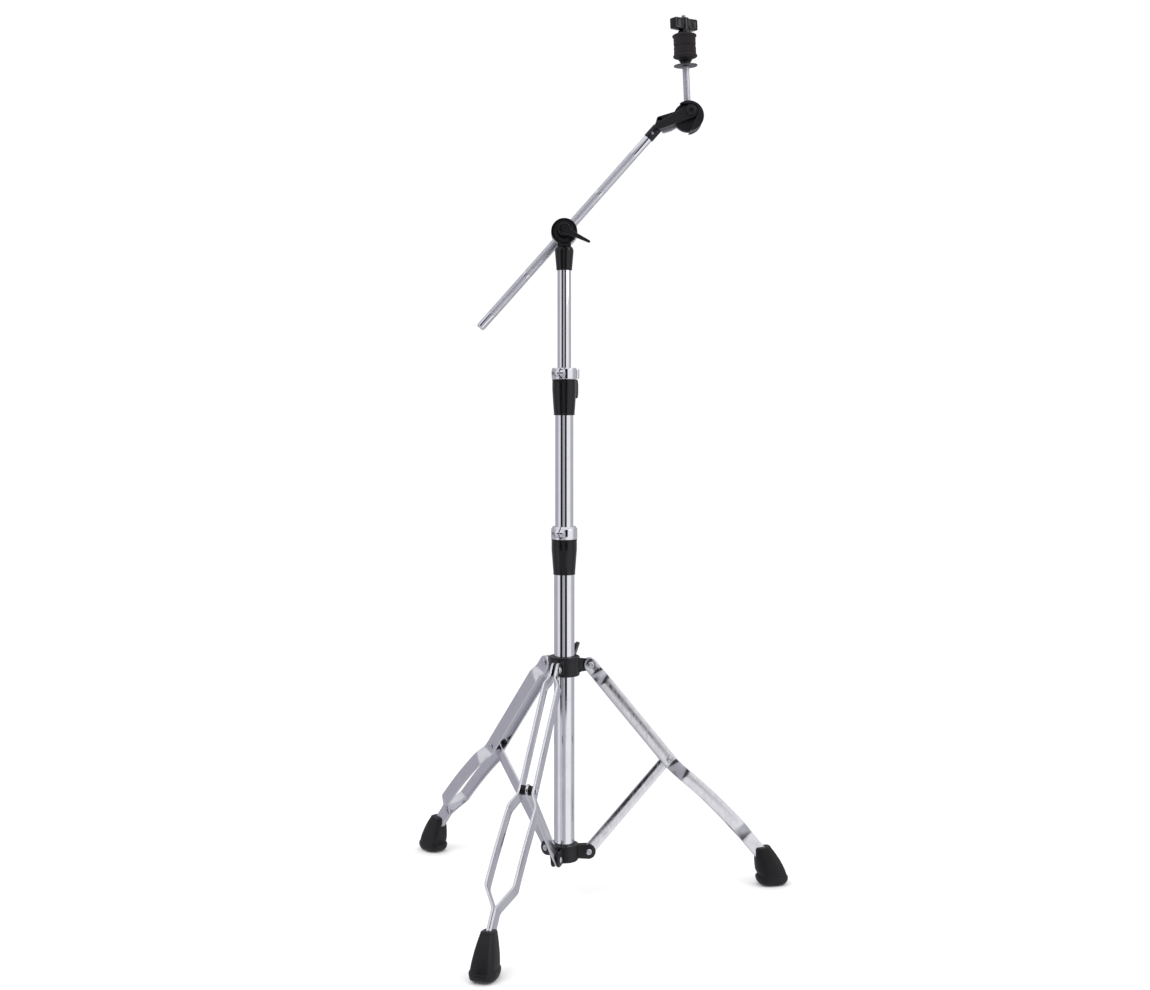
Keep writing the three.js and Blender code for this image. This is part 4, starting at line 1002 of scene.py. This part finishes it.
def knurledRun(start, end):  # one ring of diamonds, repeated along the arm
    size = armSizes
    pairs = round((end - start) / (2 * size["knurlPitch"]))
    pitch = (end - start) / (2 * pairs)
    columns = size["knurlColumns"]
    bpy.ops.mesh.primitive_circle_add(vertices=columns, radius=size["radius"] * mm)
    obj = bpy.context.active_object
    editing(obj)
    bpy.ops.mesh.extrude_edges_move(TRANSFORM_OT_translate={"value": (0, 0, pitch * mm)})
    bpy.ops.mesh.extrude_edges_move(TRANSFORM_OT_translate={"value": (0, 0, pitch * mm)})
    mesh = bmesh.from_edit_mesh(obj.data)
    for vert in mesh.verts:
        column = round(math.atan2(vert.co.y, vert.co.x) / (2 * math.pi) * columns)
        row = round(vert.co.z / (pitch * mm))
        low = (column + row) % 2
        scale = 1 - low * size["knurlDepth"] / size["radius"]
        vert.co.x *= scale
        vert.co.y *= scale
    bmesh.update_edit_mesh(obj.data)
    doneEditing()
    repeat = obj.modifiers.new("repeat", "ARRAY")
    repeat.count = pairs
    repeat.use_relative_offset = False
    repeat.use_constant_offset = True
    repeat.constant_offset_displace = (0, 0, 2 * pitch * mm)
    repeat.use_merge_vertices = True
    repeat.merge_threshold = 0.01 * mm
    pick(obj)
    bpy.ops.object.modifier_apply(modifier=repeat.name)
    editing(obj)
    bpy.ops.mesh.normals_make_consistent(inside=False)
    doneEditing()
    return shifted(obj, z=start)


def makeBoomArm():
    size = armSizes
    radius = size["radius"]
    slim = radius - 0.12
    stops = [-size["tail"]] + [value for run in size["knurls"] for value in run] + [size["reach"] - 0.3]
    core = [(0, stops[0]), (radius - size["chamfer"], stops[0], 0.5),
            (slim, stops[0] + size["chamfer"] * 1.3, 0.8)]
    for start, end in size["knurls"]:
        core += [(slim, start - 0.5, 0.2), (radius - 0.18, start, 0.1), (radius - 0.18, end, 0.1),
                 (slim, end + 0.5, 0.2)]
    core += [(slim, stops[-1], 0.3), (size["spigot"], stops[-1]),
             (size["spigot"], size["reach"] + size["spigotLength"]),
             (0, size["reach"] + size["spigotLength"])]
    arm = smooth(spun("arm", core, 96, 3))
    arm.data.materials.append(armChrome)
    runs = [knurledRun(start, end) for start, end in size["knurls"]]
    for run in runs:
        run.data.materials.append(knurlChrome)
    pick(arm, *runs)
    bpy.ops.object.join()
    moved(laidAlongX(arm), armPlace)
    keep(arm, "boomArmRod", None, "boom", "chrome_boom_arm", "boom_arm")


makeBoomArm()
print("boom arm made")


# ---- tilter: fork, head, bolt and lever, in the arm's frame
pivotLocal = armPlace.inverted() @ jointPoint("cymbal_tilt")
pivotX, pivotZ = pivotLocal.x / mm, pivotLocal.z / mm
forkSizes = {"start": 178, "socket": 7.3, "length": 19, "outer": 18.5, "thick": 13, "cheek": 9.5,
             "elbow": (199, -1, 4.7), "rear": (210, 6.5, 4.2), "screw": 186.4}
headSizes = {"radius": 21.25, "half": 19, "core": 5, "across": -3.6, "along": -6.65, "tiltBack": -25,
             "tiltForward": 40}


def makeFork():
    size = forkSizes
    start, end = size["start"], size["start"] + size["length"]
    socket = laidAlongX(spun("socket", [(5.3, start), (size["socket"], start, 0.8),
                                        (size["socket"], end, 1.0), (size["socket"] - 2, end + 5, 1.0),
                                        (0, end + 5), (0, start + 16.3), (5.3, start + 16.3), (5.3, start)],
                             64))
    outer, inner = size["outer"], size["outer"] - size["thick"]
    bridge = slab("bridge", [size["elbow"], (size["start"] + size["length"] + 3, 0.5, 5.5)], -outer + 1,
                  outer - 1, 48)
    corner = slab("corner", [size["elbow"], size["rear"]], inner, outer - 0.4, 48)
    front = slab("front", [size["elbow"], (pivotX, pivotZ, size["cheek"])], -outer, -inner, 64)
    rear = slab("rear", [size["rear"], (pivotX, pivotZ, size["cheek"])], inner, outer, 64)
    for part, width in ((bridge, 1.2), (corner, 1.0), (front, 1.1), (rear, 1.1)):
        softened(part, width, 4)
    boss = laidAlongY(spun("boss", [(0, -outer - 0.25), (8.2, -outer - 0.25, 0.2), (8.6, -outer + 0.4, 0.2),
                                    (8.6, -outer + 3), (0, -outer + 3)], 64))
    shifted(boss, pivotX, 0, pivotZ)
    joined(socket, bridge, corner, front, rear, boss)
    hole = shifted(laidAlongY(rod("hole", 3.3, -40, 40, sides=32)), pivotX, 0, pivotZ)
    screwHole = shifted(laidAlongY(rod("screwHole", 2.5, -20, 0, sides=24)), size["screw"])
    carved(socket, hole, screwHole)
    moved(smooth(socket, 30), armPlace)
    keep(socket, "tilterForkCasting", blackCasting, "fork", "black_castings", "tilter_fork")
    screw = laidAlongY(spun("screw", [(0, -6.0), (0.9, -6.0), (1.1, -6.9, 0.1), (2.2, -7.0, 0.3), (2.2, -5.3),
                                      (0, -5.3)], 32))
    moved(smooth(shifted(screw, size["screw"])), armPlace)
    keep(screw, "forkSetScrew", zincSteel, "fork", "steel_fasteners", "fork_set_screw")


def makeTilterBolt():
    face = -forkSizes["outer"] - 0.3
    bolt = spun("bolt", [(0, face - 3.4), (2.4, face - 3.4), (2.6, face - 5.2, 0.25), (6.0, face - 5.2, 1.2),
                         (7.0, face - 3.6, 0.8), (7.0, face, 0.4), (3.0, face),
                         (3.0, forkSizes["outer"] + 9, 0.4), (0, forkSizes["outer"] + 9)], 64)
    hexagon = rod("hexagon", 2.5, face - 8, face - 1.9, sides=6)
    carved(bolt, hexagon)
    moved(smooth(laidAlongY(bolt), 30), pivotPlace)
    keep(bolt, "tilterBoltHead", blackCasting, "fork", "black_castings", "tilter_bolt")


def makeTilterLever():
    start = forkSizes["outer"] + 0.3
    hub = laidAlongY(spun("hub", [(3.3, start), (7.5, start, 0.6), (7.5, start + 8, 0.8),
                                  (4.5, start + 11, 1.2), (0, start + 11), (0, start + 9.5),
                                  (3.3, start + 9.5), (3.3, start)], 64))
    arm = softened(slab("arm", [(0, 0, 6.4), (32, 0, 6.2), (41, 0, 4.2)], start + 3, start + 8), 1.6, 4)
    carved(arm, laidAlongY(rod("thread", 3.3, 0, start + 9.5, sides=32)))
    moved(arm, Matrix.Rotation(-math.radians(210), 4, "Y"))
    joined(hub, arm)
    moved(smooth(hub, 30), pivotPlace)
    keep(hub, "tilterLeverChrome", satinChrome, "tilt_lever", "chrome_fittings", "tilter_lever")


def makeHead():
    size = headSizes
    radius, half = size["radius"], size["half"]
    disc = laidAlongY(spun("disc", [(0, -half), (radius, -half, 1.0), (radius, -half + 3.5, 0.3),
                                    (radius - 0.6, -half + 4.1, 0.3), (radius - 0.6, half - 4.1, 0.3),
                                    (radius, half - 3.5, 0.3), (radius, half, 1.0), (0, half)], 128))
    armAngle = math.atan2(armAxis.z, armAxis.x)
    rodLean = math.atan2(rodAxis.x, rodAxis.z)  # positive to the right
    elbowX, elbowZ, _ = forkSizes["elbow"]
    toElbow = math.atan2(elbowZ - pivotZ, elbowX - pivotX) + armAngle + rodLean
    room = forkSizes["cheek"] + 0.6

    def sweep(extra, yFrom, yTo):  # the room a cheek needs as the head tilts
        low = toElbow + math.radians(size["tiltForward"])
        high = toElbow + math.radians(size["tiltBack"]) - extra
        steps = 6
        turns = [low + (high - low) * k / steps for k in range(steps + 1)]
        circles = [(0, 0, room)] + [(58 * math.cos(turn), 58 * math.sin(turn), room) for turn in turns]
        return shifted(slab("room", circles, yFrom, yTo, 48), -size["across"], 0, -size["along"])

    frontRoom = sweep(0, -half - 1, -size["core"])
    rearRoom = sweep(math.radians(17), size["core"], half + 1)
    pivotHole = shifted(laidAlongY(rod("pivot", 3.3, -30, 30, sides=32)), -size["across"], 0, -size["along"])
    tang = rod("tang", 3.2, 10.7, 22, sides=32)
    rodHole = rod("rodHole", 5.0, 19.9, 23, sides=48)
    carved(disc, frontRoom, rearRoom, pivotHole, tang, rodHole)
    softened(disc, 0.7, 3, 50)
    moved(smooth(disc, 30), rodPlace)
    keep(disc, "tilterHeadCasting", blackCasting, "head", "black_castings", "tilter_head")


makeFork()
makeTilterBolt()
makeTilterLever()
makeHead()
print("tilter made")


# ---- cymbal rod, seat, felts and wing nut, up the rod from the middle of the tilter's disc
rodSizes = {"radius": 4.7, "thread": 3.0, "tang": 2.9, "start": 20.2, "seat": 72.2, "top": 144.9}
seatSizes = {"washer": 16.75, "thick": 1.5, "foot": 7.7, "footHeight": 4.2, "cone": 5.3, "flange": 11,
             "tube": 5.8}
feltSizes = {"height": 16.5, "body": 15.7, "rim": 17.1, "rimHeight": 4.5, "gap": 0.3}
nutSizes = {"height": 22.6, "flange": 9.5, "hub": 7.2, "span": 42, "wing": 16, "thick": 12, "turn": 38}
seatTop = rodSizes["seat"] + 0.3 + seatSizes["thick"]
coneFoot = seatTop + 0.3
coneTop = coneFoot + seatSizes["footHeight"] + seatSizes["cone"]
feltBottom = coneTop + 0.3
feltTop = feltBottom + 2 * feltSizes["height"] + feltSizes["gap"]
nutBottom = feltTop + 0.3


def makeRod():
    size = rodSizes
    profile = [(0, 11), (size["tang"], 11), (size["tang"], size["start"]),
               (size["radius"], size["start"], 0.3), (size["radius"], size["seat"] - 0.6, 0.3),
               (size["radius"] - 0.6, size["seat"]), (size["thread"], size["seat"])]
    threadStart, threadEnd = nutBottom - 4, size["top"] - 1.2
    turns = round(threadEnd - threadStart)
    for k in range(turns):  # M6 crests, one a millimetre
        z = threadStart + k
        profile += [(size["thread"] - 0.45, z + 0.12), (size["thread"], z + 0.5), (size["thread"], z + 0.62)]
    profile += [(size["thread"] - 0.5, threadEnd), (size["thread"] - 1.2, size["top"], 0.3), (0, size["top"])]
    rodShape = smooth(spun("rod", profile, 64), 25)
    moved(rodShape, rodPlace)
    keep(rodShape, "cymbalRodChrome", satinChrome, "head", "chrome_fittings", "cymbal_rod")


def makeSeat():
    size = seatSizes
    washer = spun("washer", [(3.3, seatTop - size["thick"]), (size["washer"], seatTop - size["thick"], 0.5),
                             (size["washer"], seatTop, 0.5), (3.3, seatTop), (3.3, seatTop - size["thick"])],
                  96)
    moved(smooth(washer), rodPlace)
    keep(washer, "seatWasherSteel", washerSteel, "head", "steel_fasteners", "seat_washer")
    tubeTop = nutBottom - 5
    sleeve = spun("sleeve", [(3.3, coneFoot), (size["foot"], coneFoot, 0.4),
                             (size["foot"], coneFoot + 1.4, 0.3), (size["foot"] - 0.5, coneFoot + 1.8, 0.2),
                             (size["foot"], coneFoot + size["footHeight"], 0.8),
                             (size["flange"], coneTop - 0.8, 0.4), (size["flange"], coneTop, 0.3),
                             (size["tube"], coneTop), (size["tube"], tubeTop, 0.4), (3.3, tubeTop),
                             (3.3, coneFoot)], 96)
    moved(smooth(sleeve), rodPlace)
    keep(sleeve, "cymbalSleeveNylon", blackNylon, "head", "black_nylon", "cymbal_sleeve")


def feltRoll(name, bottom, up):  # one dense felt; its swollen rim is at the top when up is 1
    size = feltSizes
    top = bottom + size["height"]
    body, rim, bore = size["body"], size["rim"], 6.1
    rows = [(bore, 0, 0.4), (body - 0.5, 0, 1.2), (body, 3.0, 1.5), (body - 0.15, 6.2, 2.0),
            (body + 0.05, 9.2, 2.0), (body - 0.2, size["height"] - size["rimHeight"] - 0.4, 1.0),
            (rim, size["height"] - size["rimHeight"] + 0.9, 1.1), (rim, size["height"] - 1.4, 1.3),
            (rim - 1.8, size["height"] - 0.05, 0.9), (bore, size["height"], 0.4)]
    profile = [(r, bottom + h if up > 0 else top - h, f) for r, h, f in rows]
    profile.append(profile[0])
    roll = spun(name, profile, 128, 6)
    divide = roll.modifiers.new("divide", "SUBSURF")
    divide.levels = divide.render_levels = 1
    divide.subdivision_type = "SIMPLE"
    pick(roll)
    bpy.ops.object.modifier_apply(modifier=divide.name)
    for clouds, scale, depth in (("feltClumps", 3.2, 0.34), ("feltFibres", 0.9, 0.16)):
        texture = bpy.data.textures.get(clouds) or bpy.data.textures.new(clouds, "CLOUDS")
        texture.noise_scale = scale * mm
        rough = roll.modifiers.new("rough", "DISPLACE")
        rough.texture = texture
        rough.texture_coords = "LOCAL"
        rough.strength = depth * mm
        rough.mid_level = 0.6
        pick(roll)
        bpy.ops.object.modifier_apply(modifier=rough.name)
    return moved(smooth(roll, 60), rodPlace)


def makeFelts():
    lower = feltRoll("lower", feltBottom, -1)
    upper = feltRoll("upper", feltBottom + feltSizes["height"] + feltSizes["gap"], 1)
    keep(lower, "lowerFeltWool", blackFelt, "head", "black_felt", "lower_felt")
    keep(upper, "upperFeltWool", blackFelt, "felt", "black_felt", "upper_felt")


def makeWingNut():
    size = nutSizes
    top = nutBottom + size["height"]
    hub = spun("hub", [(3.3, nutBottom), (size["flange"], nutBottom, 0.6),
                       (size["flange"], nutBottom + 2.2, 0.6), (size["hub"], nutBottom + 6, 1.2),
                       (size["hub"], top, 0.9), (3.3, top, 0.4), (3.3, nutBottom)], 64)
    half, thick, wingTop = size["span"] / 2, size["thick"], top - 1
    wings = []
    for side in (-1, 1):
        wing = slab("wing", [(side * 5, wingTop - 3.0, 3.0), (side * (half - 2.2), wingTop - 2.2, 2.2),
                             (side * (half - 2.2), wingTop - size["wing"] + 2.2 + 0.6, 2.2),
                             (side * 7, wingTop - size["wing"] + 1.0, 1.0)], -thick / 2, thick / 2, 32)
        softened(wing, 0.8, 3)
        for face in (-1, 1):
            near, deep = sorted((face * size["thick"] * 0.6, face * (size["thick"] / 2 - 0.9)))
            dent = slab("dent", [(side * 10.2, wingTop - 3.4, 1.0), (side * (half - 3.0), wingTop - 3.4, 1.0),
                                 (side * (half - 3.0), wingTop - size["wing"] + 4.4, 1.0),
                                 (side * 10.2, wingTop - size["wing"] + 4.4, 1.0)], near, deep, 24)
            carved(wing, softened(dent, 0.3, 2))
        wings.append(wing)
    joined(hub, *wings)
    carved(hub, rod("bore", 3.3, nutBottom - 1, top + 1, sides=48))
    moved(hub, Matrix.Rotation(math.radians(size["turn"]), 4, "Z"))
    moved(smooth(hub, 30), rodPlace)
    keep(hub, "wingNutMoulding", blackPlastic, "nut", "black_plastic", "wing_nut")


makeRod()
makeSeat()
makeFelts()
makeWingNut()
print("cymbal seat made")

# the nodes that stay, inside the other pieces
for node, material in (("lower_bushing", blackNylon), ("upper_bushing", blackNylon), ("eye_bolt", zincSteel)):
    for index in range(len(frame["nodes"][node].material_slots)):
        frame["nodes"][node].material_slots[index].material = material


# ---- studio
studio = {"cameraX": 0.015, "cameraBack": 2.115, "cameraUp": 0.709, "drop": 0.0913, "lens": 47.46,
          "white": 1.05}


def makeFloor():
    bpy.ops.mesh.primitive_circle_add(vertices=128, radius=9, fill_type="NGON", location=(0, 0, -0.0004))
    floor = bpy.context.active_object
    floor.name = "studioFloor"
    bpy.ops.object.transform_apply(location=True, rotation=True, scale=True)
    material, nodes = newMaterial("floorPaper")
    speckle = nodes.noise(3, 2, 0.5)
    color = nodes.blend(nodes.fit(speckle, 0, 1, 0.4, 0.6), (0.975, 0.975, 0.978), (0.985, 0.985, 0.988))
    nodes.surface(Base_Color=color, Roughness=0.9, Specular_IOR_Level=0.1)
    floor.data.materials.append(material)
    floor.visible_glossy = False


def makeWorld():  # white room whose reflections hold two dark upright panels, as round polished tubes show
    world = bpy.data.worlds.new("studioRoom")
    bpy.context.scene.world = world
    nodes = Nodes(world)
    direction = nodes.add("ShaderNodeTexCoord", out="Generated")
    x = nodes.add("ShaderNodeSeparateXYZ", None, {0: direction}, out="X")
    y = nodes.add("ShaderNodeSeparateXYZ", None, {0: direction}, out="Y")
    z = nodes.add("ShaderNodeSeparateXYZ", None, {0: direction}, out="Z")
    around = x.maths("ARCTAN2", y * -1)
    part = around / (2 * math.pi) + 0.5

    def at(degrees):
        return degrees / 360 + 0.5

    lavender, pale = (0.44, 0.435, 0.49), (0.80, 0.80, 0.84)
    mid, white = (0.44, 0.435, 0.48), (0.93, 0.93, 0.95)

    def panels(dark, darkEnd):  # the second dark panel stops here
        stops = [(0.0, lavender), (at(-84), lavender), (at(-74), pale), (at(-49), pale), (at(-45), dark),
                 (at(-22), dark), (at(-18), mid), (at(7), mid), (at(10), dark), (at(darkEnd), dark),
                 (at(darkEnd + 4), white), (at(76), white), (at(92), (0.5, 0.5, 0.54)), (1.0, lavender)]
        return nodes.add("ShaderNodeValToRGB", {"stops": stops}, {0: part})

    room = nodes.blend(nodes.fit(z, 0, 1, -0.225, -0.205), panels((0.58, 0.58, 0.62), 16),
                       panels((0.012, 0.012, 0.016), 30))
    up = nodes.fit(z, 0, 1, 0.45, 0.75)
    down = nodes.fit(z, 0, 1, -0.5, -0.8)
    room = nodes.blend(up, room, (0.84, 0.84, 0.88))
    room = nodes.blend(down, room, (0.55, 0.55, 0.58))
    glossy = nodes.add("ShaderNodeLightPath", out="Is Glossy Ray")
    color = nodes.blend(glossy, (1.0, 1.0, 1.0), room)
    shader = nodes.add("ShaderNodeBackground", None, {"Color": color, "Strength": studio["white"]})
    nodes.add("ShaderNodeOutputWorld", None, {"Surface": shader})


def makeLights():
    for name, place, size, power in (("keySoftbox", (-1.6, -1.4, 2.4), 1.6, 22),
                                     ("fillSoftbox", (1.9, -1.0, 1.9), 1.4, 10)):
        light = bpy.data.lights.new(name, "AREA")
        light.size = size
        light.energy = power
        obj = bpy.data.objects.new(name, light)
        obj.location = place
        obj.visible_glossy = name == "fillSoftbox"
        obj.rotation_euler = (Vector((0, 0, 0.6)) - Vector(place)).to_track_quat("-Z", "Y").to_euler()
        bpy.context.scene.collection.objects.link(obj)


def makeCamera():
    camera = bpy.data.cameras.new("frontCamera")
    camera.sensor_width = 36
    camera.lens = studio["lens"]
    camera.shift_y = -studio["drop"]
    obj = bpy.data.objects.new("frontCamera", camera)
    obj.location = (mastX + studio["cameraX"], mastY - studio["cameraBack"], studio["cameraUp"])
    obj.rotation_euler = (math.radians(90), 0, 0)
    bpy.context.scene.collection.objects.link(obj)
    bpy.context.scene.camera = obj


makeFloor()
makeWorld()
makeLights()
makeCamera()
bpy.context.scene.view_settings.view_transform = "Standard"
print("studio made")
